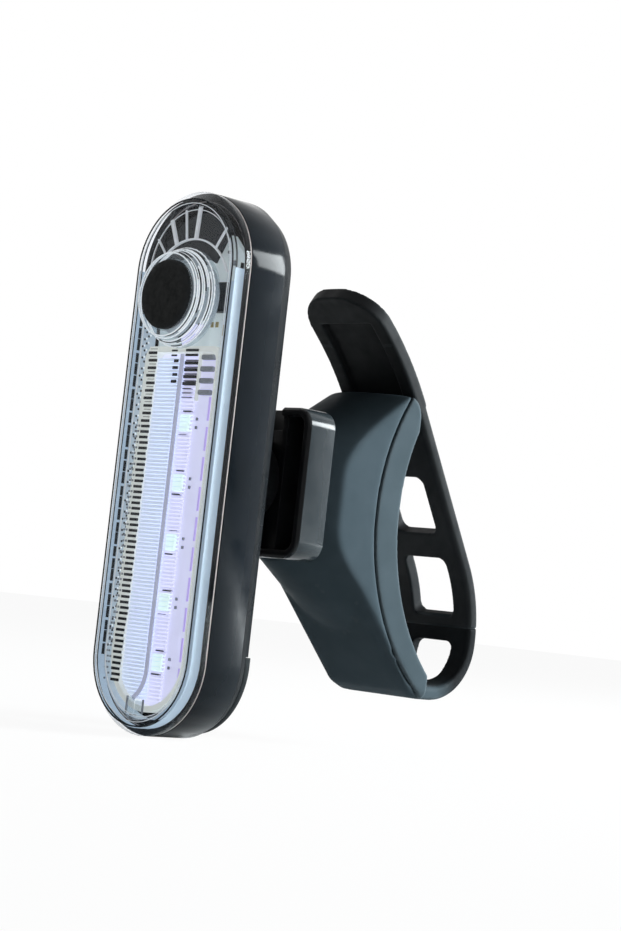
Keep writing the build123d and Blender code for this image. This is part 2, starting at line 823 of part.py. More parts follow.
# Crescent of the saddle, its front edges rounded over
with BuildPart() as crescent:
    with BuildSketch(Plane.YZ) as crescent_side:
        with BuildLine():
            FilletPolyline(horn_start, bow_corner, tail_start, radius=bow_radius)
            Polyline(tail_start, (heel_reach, strap_low), (heel_reach, heel_low))
            RadiusArc((heel_reach, heel_low), (tip_reach, tip_low), tube_radius)
            Polyline((tip_reach, tip_low), horn_start)
        make_face()
        chamfer(crescent_side.vertices().sort_by_distance((*tail_start, 0))[0], length=tail_edge)
    extrude(amount=saddle_width / 2, both=True)
    side_edges = crescent.faces().filter_by(Axis.X).edges()
    tube_line = Vector(0, tube_radius, 0)
    fillet(
        side_edges.filter_by(
            lambda edge: Vector(0, edge.center().Y, edge.center().Z).sub(tube_line).length
            > tube_radius + liner_depth / 2
        ),
        radius=saddle_edge,
    )

# The whole saddle: a neck that widens into a crescent with a hollow back
with BuildPart() as saddle_blank:
    with BuildSketch(Plane(origin=(0, dock_back, 0), x_dir=(1, 0, 0), z_dir=(0, 1, 0))):
        with Locations((0, -neck_mid)):
            SlotOverall(neck_high - neck_low, neck_width_side, rotation=90)
    extrude(amount=saddle_height + tip_reach, taper=-neck_taper)
    add(crescent.part)
    with Locations(Location((0, tube_radius, 0), (0, 90, 0))):
        Cylinder(tube_radius, lamp_length, mode=Mode.SUBTRACT)
    add(saddle_clip.part, mode=Mode.INTERSECT)

# Everything behind a curved line down the saddle's side
liner_top = (liner_top_reach, crown_height)
liner_reach = heel_reach - liner_set
with BuildPart() as liner_zone:
    with BuildSketch(Plane.YZ):
        with BuildLine():
            ThreePointArc(liner_top, (-liner_depth, liner_rise), (liner_reach, strap_low))
            Polyline(
                (liner_reach, strap_low),
                (liner_reach, strap_low - overrun),
                (strap_back, strap_low - overrun),
                (strap_back, crown_height + overrun),
                (liner_top[0], crown_height + overrun),
                liner_top,
            )
        make_face()
    extrude(amount=saddle_width, both=True)

# Hook: a stub out of the hard body through the strap's top hole, with a head
hook_shift = hook_gap + hook_height / 2 - hook_hole_length / 2
hook_base = up_strap(ladder_start, ladder_lean, hook_run)
hook_length = hook_reach + (hook_base[0] + hook_depth) / cos(radians(ladder_lean))
with BuildPart() as hook_blank:
    with BuildSketch(strap_plane(hook_base, ladder_lean, hook_reach)):
        with Locations((0, hook_shift)):
            Rectangle(hook_width, hook_height)
    extrude(amount=-hook_length)
    with BuildSketch(strap_plane(hook_base, ladder_lean, hook_reach)):
        with Locations((0, hook_shift + hook_drop)):
            RectangleRounded(hook_head_width, hook_head_height, hook_corner)
    extrude(amount=hook_head)
    hook_line = Axis((0, hook_base[0], hook_base[1]), strap_plane(hook_base, ladder_lean).z_dir)
    chamfer(hook_blank.faces().sort_by(hook_line)[-1].edges(), length=hook_edge)

# Hard half of the saddle with its hook
with BuildPart() as hard_blank:
    add(saddle_blank.part)
    add(liner_zone.part, mode=Mode.SUBTRACT)
    add(hook_blank.part)

# Hard body of the saddle, with the hook and the holes for the block's screws
with BuildPart() as saddle_body:
    add(hard_blank.part)
    with BuildSketch(facing(dock_back, neck_mid)):
        with GridLocations(dock_screw_span, 0, 2, 1):
            Circle(dock_screw_radius)
    extrude(amount=-(dock_screw_length - dock_floor), mode=Mode.SUBTRACT)
saddle_body.part.label = "saddle_body"

# The strap's root: flat under the liner, then a bend up to the flex line
with BuildPart() as root_blank:
    with BuildSketch(Plane.YZ):
        with BuildLine():
            Polyline(
                (bend_mid[0], strap_low + strap_height),
                (heel_reach, strap_low + strap_height),
                (heel_reach, strap_low),
                (bend_mid[0], strap_low),
            )
            CenterArc(bend_mid, strap_bend, -90, 90)
            Line((strap_back, bend_mid[1]), (strap_back, swell_mid[1]))
            CenterArc(swell_mid, strap_swell, 0, root_angle)
            Line(swell_point(root_angle, 0), swell_point(root_angle, strap_height))
            CenterArc(swell_mid, strap_swell - strap_height, root_angle, -root_angle)
            Line(
                (strap_back - strap_height, swell_mid[1]), (strap_back - strap_height, bend_mid[1])
            )
            CenterArc(bend_mid, strap_bend - strap_height, 0, -90)
        make_face()
    extrude(amount=strap_width / 2, both=True)
    side_edges = root_blank.faces().filter_by(Axis.X).edges()
    chamfer(side_edges.filter_by(lambda edge: edge.length > strap_height + fit_gap), length=strap_edge)
    with BuildSketch(facing(strap_back, (root_hole_low + root_hole_high) / 2)):
        RectangleRounded(hole_width, root_hole_high - root_hole_low, hole_radius)
    extrude(amount=strap_bend, mode=Mode.SUBTRACT)

# Silicone liner behind the hard body, which carries on as the strap's root
with BuildPart() as saddle_liner:
    add(saddle_blank.part)
    add(hard_blank.part, mode=Mode.SUBTRACT)
    add(root_blank.part)
saddle_liner.part.label = "saddle_liner"

# Pull tab: it curls forward, with a dished inner side and a ridged pad outside
with BuildPart() as tab_plan:
    with BuildSketch(strap_plane(tab_end, tab_end_angle)) as tab_face:
        Rectangle(strap_width, 2 * tab_reach, align=(Align.CENTER, Align.MIN))
        fillet(tab_face.vertices().group_by(Axis.Y)[0], radius=tab_round)
    extrude(amount=tab_reach, both=True)

recess_floor = strap_height - recess_depth
with BuildPart() as tab_blank:
    with BuildSketch(Plane.YZ):
        make_face(tab_band(0, tab_reach, 0, strap_height))
    extrude(amount=strap_width / 2, both=True)
    add(tab_plan.part, mode=Mode.INTERSECT)
    with BuildSketch(Plane.YZ):
        make_face(tab_band(recess_start, tab_reach - recess_end, recess_floor, 2 * strap_height))
    extrude(amount=recess_width / 2, both=True, mode=Mode.SUBTRACT)
    with BuildSketch(Plane.YZ):
        make_face(tab_band(grip_start, grip_start + grip_length, grip_ridge - grip_height, recess_depth))
        for ridge in range(grip_ridges):
            ridge_start = grip_start + (ridge + ridge_share) * grip_length / grip_ridges
            ridge_end = ridge_start + grip_length / grip_ridges / 2
            make_face(tab_band(ridge_start, ridge_end, -grip_height, 0))
    extrude(amount=grip_width / 2, both=True)

# Strap above the flex line: the ladder of holes and the pull tab
with BuildPart() as strap:
    with BuildSketch(Plane.YZ):
        with BuildLine():
            CenterArc(swell_mid, strap_swell, flex_angle, ladder_lean - flex_angle)
            Polyline(
                ladder_start,
                ladder_end,
                up_strap(swell_point(ladder_lean, strap_height), ladder_lean, ladder_run),
                swell_point(ladder_lean, strap_height),
            )
            CenterArc(
                swell_mid, strap_swell - strap_height, ladder_lean, flex_angle - ladder_lean
            )
            Line(swell_point(flex_angle, strap_height), swell_point(flex_angle, 0))
        make_face()
    extrude(amount=strap_width / 2, both=True)
    side_edges = strap.faces().filter_by(Axis.X).edges()
    chamfer(side_edges.filter_by(lambda edge: edge.length > strap_height + fit_gap), length=strap_edge)
    add(tab_blank.part)
    for hole in range(hole_count):
        hole_place = up_strap(ladder_start, ladder_lean, hole_run - hole * hole_pitch)
        with BuildSketch(strap_plane(hole_place, ladder_lean)):
            RectangleRounded(hole_width, hole_length, hole_radius)
        extrude(amount=-2 * strap_height, mode=Mode.SUBTRACT)
    with BuildSketch(strap_plane(hook_base, ladder_lean)):
        RectangleRounded(hole_width, hook_hole_length, hole_radius)
    extrude(amount=-2 * strap_height, mode=Mode.SUBTRACT)
strap.part.label = "strap"

# One file for each piece
pieces = {
    "dock_block": dock_block,
    "dock_screws": dock_screws,
    "detent_leaf": detent_leaf,
    "saddle_body": saddle_body,
    "saddle_liner": saddle_liner,
    "strap": strap,
    "dock_foot": dock_foot,
    "rear_housing": rear_housing,
    "swivel_insert": swivel_insert,
    "swivel_washer": swivel_washer,
    "swivel_screw": swivel_screw,
    "lens_seal": lens_seal,
    "lens_cover": lens_cover,
    "button_cap": button_cap,
    "circuit_board": circuit_board,
    "led_chips": led_chips,
    "switch_base": switch_base,
    "switch_plunger": switch_plunger,
    "board_chips": board_chips,
    "board_screw": board_screw,
    "reflector_tray": reflector_tray,
    "prism_optic": prism_optic,
    "battery_tape": battery_tape,
    "battery_cell": battery_cell,
    "battery_tabs": battery_tabs,
    "port_socket": port_socket,
    "cover_tether": cover_tether,
    "port_cover": port_cover,
}
for name, piece in pieces.items():
    export_step(piece.part, f"parts/{name}.step")
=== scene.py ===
import json
import math

import bmesh
import bpy
from mathutils import Matrix, Vector

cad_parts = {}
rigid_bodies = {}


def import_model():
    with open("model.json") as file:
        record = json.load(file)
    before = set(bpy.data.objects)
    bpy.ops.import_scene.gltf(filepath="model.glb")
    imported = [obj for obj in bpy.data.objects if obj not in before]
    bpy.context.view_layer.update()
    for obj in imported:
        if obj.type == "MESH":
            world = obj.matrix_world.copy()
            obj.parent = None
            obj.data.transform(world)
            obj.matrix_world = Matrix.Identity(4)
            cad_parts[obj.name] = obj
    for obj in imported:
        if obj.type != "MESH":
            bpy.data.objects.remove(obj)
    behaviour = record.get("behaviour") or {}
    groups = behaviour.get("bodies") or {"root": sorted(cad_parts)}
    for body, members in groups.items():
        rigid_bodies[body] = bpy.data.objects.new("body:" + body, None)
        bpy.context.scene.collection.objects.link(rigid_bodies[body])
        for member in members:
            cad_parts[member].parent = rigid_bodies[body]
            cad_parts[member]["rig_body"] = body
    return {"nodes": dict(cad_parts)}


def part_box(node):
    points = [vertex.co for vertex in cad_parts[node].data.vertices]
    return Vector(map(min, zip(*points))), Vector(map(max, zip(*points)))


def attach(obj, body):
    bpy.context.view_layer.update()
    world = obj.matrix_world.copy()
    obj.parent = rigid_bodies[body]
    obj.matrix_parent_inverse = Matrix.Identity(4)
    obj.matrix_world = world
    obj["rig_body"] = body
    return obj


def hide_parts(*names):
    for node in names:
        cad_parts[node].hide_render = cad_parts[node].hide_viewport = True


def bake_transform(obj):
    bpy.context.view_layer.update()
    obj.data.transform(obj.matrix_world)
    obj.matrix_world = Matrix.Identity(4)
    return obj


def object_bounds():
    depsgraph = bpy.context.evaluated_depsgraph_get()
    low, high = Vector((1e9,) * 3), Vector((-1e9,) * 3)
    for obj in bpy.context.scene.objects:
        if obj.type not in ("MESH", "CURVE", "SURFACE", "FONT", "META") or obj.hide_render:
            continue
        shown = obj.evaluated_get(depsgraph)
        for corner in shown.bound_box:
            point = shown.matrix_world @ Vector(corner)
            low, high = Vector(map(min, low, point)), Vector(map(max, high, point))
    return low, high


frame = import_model()
cad_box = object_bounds()

# Sizes in millimetres and angles in degrees, in the part's own frame: X across, the lens looks to -Y,
# Z up. A fan spoke has its angle and its width.
MM = 0.001
LENS_FRONT = -47.0
LENS_INNER = -45.8
SEAL_FACE = -44.3
SPIGOT_END = -42.4
BACK_FACE = -34.0
BEVEL_REACH = 2.4
LAMP_MID = 3.2
LAMP_HALF = 45.0
LAMP_RADIUS = 13.15
RIM_DEPTH = 1.6
RIM_INSET = 1.6
RIM_STEP = 0.2
SPIGOT_INSET = 1.6
CAVITY_INSET = 2.7
ARC_LOW = LAMP_MID + LAMP_HALF - LAMP_RADIUS
BUTTON_Z = 30.2
BUTTON_RADIUS = 5.75
BUTTON_FACE = -50.7
BOSS_RADIUS = 8.3
BOSS_TOP = -50.2
BOSS_TOP_RADIUS = 6.9
BOSS_HOLE = 6.0
FAN_RADIUS = 10.0
FAN_SPOKES = ((131.0, 0.25), (114.0, 0.7), (100.0, 0.25), (87.0, 0.7), (56.0, 0.25))
FAN_SPOKE_DEPTH = 0.5
LED_FIRST = -29.7
LED_PITCH = 9.9
LED_COUNT = 5
LED_X = 0.15
LED_WIDTH = 2.4
LED_LENGTH = 2.8
TRAY_HIGH = 22.4
TRAY_LOW = -36.0
TRAY_INSET = 3.85
TRAY_WALL = 1.0
TRAY_CORNER = 2.0
TRAY_BACK = -42.1
TRAY_FLOOR = -42.6
TRAY_FRONT = -45.2
ROUND_STEPS = 28
RING_STEPS = 2 * ROUND_STEPS + 2
CORNER_STEPS = ROUND_STEPS // 2
ARC_STEPS = 40
FINE_EDGE = 0.02
MARK_EDGE = 0.05
JOIN_GAP = 0.004
FLAT_ANGLE = 0.6
SHARP_ANGLE = 28
SOFTEN_SHARE = 0.5

# Patterns of the materials: scales in features a metre, depths in millimetres
EDGE_START = 0.505
EDGE_END = 0.56
GRAIN_DETAIL = 3.0
GLOSS_SCALE = 2.3
GLOSS_DETAIL = 6.0
GLOW_DIM = 0.86
LIT_GRAIN = 2400
LIT_GRAIN_DEPTH = 0.006
GLASS_PATCH = 240
GLASS_SPOTS = 180
GLASS_ROUGH = (0.04, 0.1)
GLASS_GRAIN = 500
GLASS_GRAIN_DEPTH = 0.004
GLASS_GRAIN_STRENGTH = 0.5
SHEEN_POWER = 4.0


# Node helpers for the materials
class Look:
    """A new material with its nodes, its links and its Principled shader."""

    def __init__(self, name):
        self.material = bpy.data.materials.new(name)
        self.material.use_nodes = True
        self.nodes = self.material.node_tree.nodes
        self.links = self.material.node_tree.links
        self.shader = self.nodes["Principled BSDF"]

    def noise(self, scale, detail=4.0):
        """Noise in the part's own space, its scale in features a metre."""
        place = self.nodes.new("ShaderNodeTexCoord")
        made = self.nodes.new("ShaderNodeTexNoise")
        made.inputs["Scale"].default_value = scale
        made.inputs["Detail"].default_value = detail
        self.links.new(place.outputs["Object"], made.inputs["Vector"])
        return made.outputs["Fac"]

    def ranged(self, value, low, high, start=0.35, end=0.65):
        """The value stretched from start..end to low..high."""
        made = self.nodes.new("ShaderNodeMapRange")
        made.inputs["From Min"].default_value = start
        made.inputs["From Max"].default_value = end
        made.inputs["To Min"].default_value = low
        made.inputs["To Max"].default_value = high
        self.links.new(value, made.inputs["Value"])
        return made.outputs["Result"]

    def mixed(self, factor, first, second):
        """A colour between first and second, each a colour or a socket."""
        made = self.nodes.new("ShaderNodeMix")
        made.data_type = "RGBA"
        self.links.new(factor, made.inputs["Factor"])
        for socket, colour in ((made.inputs[6], first), (made.inputs[7], second)):
            if isinstance(colour, tuple):
                socket.default_value = (*colour, 1)
            else:
                self.links.new(colour, socket)
        return made.outputs[2]

    def along(self, axis):
        """The place along an axis of the part, in metres."""
        place = self.nodes.new("ShaderNodeTexCoord")
        split = self.nodes.new("ShaderNodeSeparateXYZ")
        self.links.new(place.outputs["Object"], split.inputs[0])
        return split.outputs[axis]

    def edges(self):
        """1 on outer edges and 0 elsewhere."""
        place = self.nodes.new("ShaderNodeNewGeometry")
        return self.ranged(place.outputs["Pointiness"], 0, 1, EDGE_START, EDGE_END)

    def grain(self, scale, depth, strength=0.6):
        """Fine bumps, their depth in millimetres."""
        bump = self.nodes.new("ShaderNodeBump")
        bump.inputs["Strength"].default_value = strength
        bump.inputs["Distance"].default_value = depth * MM
        self.links.new(self.noise(scale, GRAIN_DETAIL), bump.inputs["Height"])
        self.links.new(bump.outputs["Normal"], self.shader.inputs["Normal"])
        return bump.outputs["Normal"]

    def set(self, **values):
        """Constants on the shader's own sockets, underscores for spaces."""
        for name, value in values.items():
            self.shader.inputs[name.replace("_", " ")].default_value = value


def opaque(
    name, colour, second, rough, patch=250, grain=3000, depth=0.004, edge=None, fade=None, **values
):
    """An opaque material in two close tones, with uneven gloss, fine grain and lighter edges, a painted
    edge highlight.

    A fade goes over into another colour from one place to another along Y, in millimetres.
    """
    look = Look(name)
    base = look.mixed(look.ranged(look.noise(patch), 0, 1), colour, second)
    # Painted edge highlight: a lighter colour on the outer edges
    if edge:
        base = look.mixed(look.edges(), base, edge)
    if fade:
        other, start, end = fade
        base = look.mixed(look.ranged(look.along("Y"), 0, 1, start * MM, end * MM), base, other)
    look.links.new(base, look.shader.inputs["Base Color"])
    gloss = look.ranged(look.noise(patch * GLOSS_SCALE, GLOSS_DETAIL), *rough)
    look.links.new(gloss, look.shader.inputs["Roughness"])
    look.grain(grain, depth)
    look.set(**values)
    return look.material


def painted_glow(name, colour, second, glow, strength, patch=300, rough=(0.35, 0.5)):
    """A pale inner surface with a painted glow, which stands in for the light of the chips on it."""
    look = Look(name)
    tone = look.ranged(look.noise(patch), 0, 1)
    look.links.new(look.mixed(tone, colour, second), look.shader.inputs["Base Color"])
    look.links.new(look.ranged(look.noise(patch * 2), *rough), look.shader.inputs["Roughness"])
    dimmer = tuple(GLOW_DIM * part for part in glow)
    # Painted glow: the surface gives off a little light though it is no lamp
    look.links.new(look.mixed(tone, glow, dimmer), look.shader.inputs["Emission Color"])
    look.grain(LIT_GRAIN, LIT_GRAIN_DEPTH)
    look.set(Emission_Strength=strength)
    return look.material


def thin_glass(name, tint, haze, haze_share, shine, mirror):
    """A clear wall seen straight through, with a sheen at its edges: a mirror's, or a milky one."""
    look = Look(name)
    base = look.mixed(look.ranged(look.noise(GLASS_PATCH), 0, 1), haze, tint)
    look.links.new(base, look.shader.inputs["Base Color"])
    look.links.new(look.ranged(look.noise(GLASS_SPOTS), *GLASS_ROUGH), look.shader.inputs["Roughness"])
    normal = look.grain(GLASS_GRAIN, GLASS_GRAIN_DEPTH, GLASS_GRAIN_STRENGTH)
    clear = look.nodes.new("ShaderNodeBsdfTransparent")
    clear.inputs["Color"].default_value = (*tint, 1)
    facing = look.nodes.new("ShaderNodeLayerWeight")
    look.links.new(normal, facing.inputs["Normal"])
    steep = look.nodes.new("ShaderNodeMath")
    steep.operation = "POWER"
    steep.inputs[1].default_value = SHEEN_POWER
    look.links.new(facing.outputs["Facing"], steep.inputs[0])
    share = look.ranged(steep.outputs[0], haze_share, shine, 0, 1)
    joined = look.nodes.new("ShaderNodeMixShader")
    look.links.new(share, joined.inputs["Fac"])
    look.links.new(clear.outputs[0], joined.inputs[1])
    look.links.new(look.shader.outputs[0], joined.inputs[2])
    look.links.new(joined.outputs[0], look.nodes["Material Output"].inputs["Surface"])
    look.set(Metallic=mirror)
    return look.material


gloss_black = opaque(
    "gloss_black", (0.002, 0.0038, 0.0055), (0.003, 0.005, 0.0075), (0.08, 0.15),
    patch=90, grain=900, depth=0.003, edge=(0.006, 0.008, 0.010), Specular_IOR_Level=0.12,
)
bevel_black = opaque(
    "bevel_black", (0.005, 0.006, 0.007), (0.009, 0.010, 0.011), (0.25, 0.35),
    patch=120, grain=2600, depth=0.003, Specular_IOR_Level=0.04,
)
dock_gloss = opaque(
    "dock_gloss", (0.004, 0.008, 0.011), (0.006, 0.011, 0.014), (0.14, 0.22),
    patch=140, grain=1200, depth=0.003, edge=(0.02, 0.025, 0.028), Specular_IOR_Level=0.32,
)
recess_black = opaque(
    "recess_black", (0.006, 0.006, 0.007), (0.010, 0.011, 0.012), (0.4, 0.5),
    patch=160, grain=5200, depth=0.01, Specular_IOR_Level=0.12,
)
satin_black = opaque(
    "satin_black", (0.028, 0.039, 0.046), (0.033, 0.045, 0.053), (0.42, 0.5),
    patch=160, grain=5200, depth=0.012, edge=(0.035, 0.046, 0.053), Specular_IOR_Level=0.01,
)
liner_grey = opaque(
    "liner_grey", (0.031, 0.043, 0.050), (0.036, 0.049, 0.057), (0.5, 0.6),
    patch=160, grain=6200, depth=0.01, edge=(0.055, 0.068, 0.076),
    fade=((0.010, 0.011, 0.012), 16.0, 20.5), Specular_IOR_Level=0.03,
)
strap_black = opaque(
    "strap_black", (0.008, 0.009, 0.010), (0.013, 0.014, 0.015), (0.5, 0.62),
    patch=200, grain=6200, depth=0.012, edge=(0.02, 0.024, 0.026), Specular_IOR_Level=0.1,
)
button_black = opaque(
    "button_black", (0.006, 0.007, 0.007), (0.012, 0.013, 0.013), (0.55, 0.75),
    patch=700, grain=2600, depth=0.03, edge=(0.02, 0.021, 0.022), Specular_IOR_Level=0.12,
)
mask_black = opaque(
    "mask_black", (0.014, 0.018, 0.021), (0.026, 0.031, 0.035), (0.3, 0.5),
    patch=500, grain=2600, depth=0.01, Specular_IOR_Level=0.2,
)
# Dark marks, and painted shade and painted dark lines on the seal, the rim and the boss
mark_and_shade_black = opaque(
    "mark_and_shade_black", (0.006, 0.008, 0.010), (0.016, 0.020, 0.024), (0.3, 0.5),
    patch=900, grain=2600, depth=0.01, Specular_IOR_Level=0.1,
)
steel = opaque("steel", (0.55, 0.56, 0.57), (0.42, 0.43, 0.45), (0.25, 0.4), patch=600, Metallic=1.0)
brass = opaque("brass", (0.72, 0.55, 0.24), (0.58, 0.42, 0.18), (0.25, 0.4), patch=600, Metallic=1.0)
nickel = opaque("nickel", (0.66, 0.64, 0.58), (0.52, 0.5, 0.45), (0.25, 0.4), patch=500, Metallic=1.0)
gold = opaque("gold_pad", (0.66, 0.52, 0.26), (0.5, 0.4, 0.2), (0.25, 0.4), patch=900, Metallic=0.6)
cell_foil = opaque(
    "cell_foil", (0.62, 0.63, 0.66), (0.5, 0.51, 0.54), (0.3, 0.45),
    patch=220, grain=900, depth=0.03, Metallic=0.8,
)
foam_tape = opaque(
    "foam_tape", (0.02, 0.02, 0.022), (0.04, 0.04, 0.043), (0.8, 0.95),
    patch=900, grain=4000, depth=0.04,
)
chip_black = opaque(
    "chip_black", (0.016, 0.017, 0.02), (0.03, 0.032, 0.036), (0.45, 0.6),
    patch=900, grain=6000, depth=0.01,
)

# Pale surfaces with a painted glow in place of light: two tones, the colour of the glow and its strength
chip_grey = painted_glow("chip_grey", (0.16, 0.18, 0.2), (0.26, 0.28, 0.31), (0.3, 0.32, 0.36), 0.12)
board_pale = painted_glow("board_pale", (0.50, 0.57, 0.58), (0.60, 0.66, 0.67), (0.62, 0.7, 0.72), 0.5)
seal_pale = painted_glow("seal_pale", (0.26, 0.23, 0.225), (0.32, 0.29, 0.28), (0.8, 0.72, 0.7), 0.12)
panel_lilac = painted_glow("panel_lilac", (0.50, 0.51, 0.66), (0.58, 0.59, 0.72), (0.74, 0.74, 1.0), 0.6)
panel_blue = painted_glow("panel_blue", (0.46, 0.52, 0.62), (0.54, 0.60, 0.70), (0.66, 0.74, 0.92), 0.58)
strip_cream = painted_glow("strip_cream", (0.50, 0.52, 0.48), (0.58, 0.60, 0.56), (0.82, 0.86, 0.82), 0.45)
frost_blue = painted_glow("frost_blue", (0.30, 0.36, 0.42), (0.42, 0.48, 0.54), (0.5, 0.6, 0.7), 0.4, patch=700)
spine_grey = painted_glow("spine_grey", (0.26, 0.28, 0.36), (0.32, 0.34, 0.42), (0.42, 0.44, 0.58), 0.6)
dash_purple = painted_glow("dash_purple", (0.36, 0.28, 0.56), (0.44, 0.36, 0.64), (0.5, 0.4, 0.85), 0.55)
guide_blue = painted_glow("guide_blue", (0.18, 0.23, 0.27), (0.22, 0.27, 0.31), (0.6, 0.76, 0.92), 0.5)
led_white = painted_glow("led_white", (0.5, 0.6, 0.56), (0.56, 0.62, 0.64), (0.7, 0.92, 0.84), 0.85, patch=500)
skirt_pale = painted_glow("skirt_pale", (0.4, 0.44, 0.46), (0.5, 0.54, 0.56), (0.7, 0.75, 0.8), 0.16)
rib_clear = painted_glow(
    "rib_clear", (0.50, 0.53, 0.55), (0.66, 0.68, 0.70), (0.8, 0.84, 0.88), 0.36,
    patch=900, rough=(0.1, 0.2),
)
rib_bright = painted_glow(
    "rib_bright", (0.6, 0.62, 0.64), (0.7, 0.72, 0.74), (0.86, 0.9, 0.94), 0.62,
    patch=900, rough=(0.1, 0.2),
)

# Clear plastics
pane_glass = thin_glass(
    "pane_glass", (0.985, 0.99, 1.0), (0.95, 0.97, 1.0), haze_share=0.005, shine=0.5, mirror=1.0
)
rim_glass = thin_glass(
    "rim_glass", (0.97, 0.985, 1.0), (0.95, 0.97, 1.0), haze_share=0.02, shine=0.8, mirror=1.0
)
boss_glass = thin_glass(
    "boss_glass", (0.93, 0.96, 0.98), (0.82, 0.88, 0.92), haze_share=0.12, shine=0.6, mirror=0
)


# Helpers for the pieces
def piece(name, mesh, made_of, body, replaces=(), smooth=True):
    """A finished object from a mesh in millimetres, which rides on a body if one is named."""
    bmesh.ops.recalc_face_normals(mesh, faces=mesh.faces)
    for face in mesh.faces:
        face.smooth = smooth
    data = bpy.data.meshes.new(name)
    mesh.to_mesh(data)
    mesh.free()
    data.transform(Matrix.Scale(MM, 4))
    made = bpy.data.objects.new(name, data)
    bpy.context.scene.collection.objects.link(made)
    data.materials.append(made_of)
    if body:
        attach(made, body)
    if replaces:
        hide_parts(*replaces)
    return made


def rounded(made, width, segments=2):
    """Rounds the object's sharp edges by a width in millimetres."""
    bevel = made.modifiers.new("edges", "BEVEL")
    bevel.width = width * MM
    bevel.segments = segments
    bevel.limit_method = "ANGLE"
    bevel.angle_limit = math.radians(SHARP_ANGLE)
    bevel.harden_normals = True
    return made


def stadium(inset, depth):
    """Points round the lamp's outline, drawn in by an inset, at a depth."""
    radius = LAMP_RADIUS - inset
    reach = LAMP_HALF - LAMP_RADIUS
    points = []
    for end in (0, 1):
        for step in range(ROUND_STEPS + 1):
            angle = math.pi * (step / ROUND_STEPS + end)
            height = LAMP_MID + (1 - 2 * end) * reach + radius * math.sin(angle)
            points.append((radius * math.cos(angle), depth, height))
    return points


def ring(radius, depth):
    """Points round the button's axis at a depth, with as many points as a stadium has."""
    turns = [math.tau * step / RING_STEPS for step in range(RING_STEPS)]
    return [(radius * math.cos(turn), depth, BUTTON_Z + radius * math.sin(turn)) for turn in turns]


def skin(mesh, loops, closed=False, capped=False):
    """Joins loops of as many points each by faces, the last to the first if closed."""
    rows = [[mesh.verts.new(point) for point in loop] for loop in loops]
    pairs = list(zip(rows, rows[1:])) + ([(rows[-1], rows[0])] if closed else [])
    for first, second in pairs:
        for here in range(len(first)):
            there = (here + 1) % len(first)
            mesh.faces.new((first[here], first[there], second[there], second[here]))
    if capped:
        mesh.faces.new(rows[0])
        mesh.faces.new(rows[-1])


def block(mesh, low, high):
    """Adds a block between two corners."""
    middle = [(a + b) / 2 for a, b in zip(low, high)]
    size = [b - a for a, b in zip(low, high)]
    place = Matrix.Translation(middle) @ Matrix.Diagonal((*size, 1))
    bmesh.ops.create_cube(mesh, size=1, matrix=place)


def blocks(name, corners, made_of, body, width=0.06, replaces=()):
    """One piece of many small blocks with rounded edges."""
    mesh = bmesh.new()
    for low, high in corners:
        block(mesh, low, high)
    rounded(piece(name, mesh, made_of, body, replaces, smooth=False), width)


def arc_band(mesh, radius, width, front, rear, start, sweep):
    """Adds a curved wall round the button's axis."""
    rows = []
    for step in range(ARC_STEPS + 1):
        turn = math.radians(start + sweep * step / ARC_STEPS)
        corners = []
        for side, depth in ((-1, front), (1, front), (1, rear), (-1, rear)):
            reach = radius + side * width / 2
            corners.append((reach * math.cos(turn), depth, BUTTON_Z + reach * math.sin(turn)))
        rows.append(corners)
    skin(mesh, rows, capped=True)


def dressed(node, made_of, width, segments=2):
    """A copy of a CAD node with its flat faces joined and its edges rounded."""
    source = frame["nodes"][node]
    mesh = bmesh.new()
    mesh.from_mesh(source.data)
    bmesh.ops.remove_doubles(mesh, verts=mesh.verts, dist=JOIN_GAP * MM)
    flat = math.radians(FLAT_ANGLE)
    bmesh.ops.dissolve_limit(mesh, angle_limit=flat, verts=mesh.verts, edges=mesh.edges)
    mesh.transform(Matrix.Scale(1 / MM, 4))
    made = piece(node + "_dressed", mesh, made_of, source["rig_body"], (node,))
    return rounded(made, width, segments)


def moulded(node, made_of, grid, rounds):
    """A copy of a CAD node with softly rounded edges and hollows."""
    source = frame["nodes"][node]
    mesh = bmesh.new()
    mesh.from_mesh(source.data)
    bmesh.ops.remove_doubles(mesh, verts=mesh.verts, dist=JOIN_GAP * MM)
    mesh.transform(Matrix.Scale(1 / MM, 4))
    made = piece(node + "_moulded", mesh, made_of, source["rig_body"], (node,))
    remesh = made.modifiers.new("skin", "REMESH")
    remesh.mode = "VOXEL"
    remesh.voxel_size = grid * MM
    remesh.use_smooth_shade = True
    soften = made.modifiers.new("soften", "SMOOTH")
    soften.factor = SOFTEN_SHARE
    soften.iterations = rounds


# Housing: the black shell, glossy on its side and darker on its bevelled back
housing = dressed("rear_housing", gloss_black, width=0.3, segments=3)
housing.data.materials.append(bevel_black)
for face in housing.data.polygons:
    if face.center.y > (BACK_FACE - BEVEL_REACH) * MM:
        face.material_index = 1

# Seal: pale on its outer side, and dark on its flat faces as painted shade in the seam
FLAT_NORMAL = 0.5
seal = dressed("lens_seal", seal_pale, width=0.03, segments=1)
seal.data.materials.append(mark_and_shade_black)
for face in seal.data.polygons:
    # Painted shade: the flat faces of the pale seal take the dark material
    if abs(face.normal.y) > FLAT_NORMAL:
        face.material_index = 1

# Lens: a thick clear rim and a thin front wall with a hole for the boss
IN_LENS = ("lens_cover",)
mesh = bmesh.new()
skin(
    mesh,
    [
        stadium(0, SEAL_FACE),
        stadium(0, LENS_FRONT + RIM_DEPTH),
        stadium(RIM_INSET, LENS_FRONT),
        stadium(CAVITY_INSET - RIM_STEP, LENS_FRONT),
        stadium(CAVITY_INSET, LENS_INNER),
        stadium(CAVITY_INSET, SPIGOT_END),
        stadium(SPIGOT_INSET, SPIGOT_END),
        stadium(SPIGOT_INSET, SEAL_FACE),
    ],
    closed=True,
)
rounded(piece("lens_rim", mesh, rim_glass, "lamp", IN_LENS), width=0.18, segments=3)


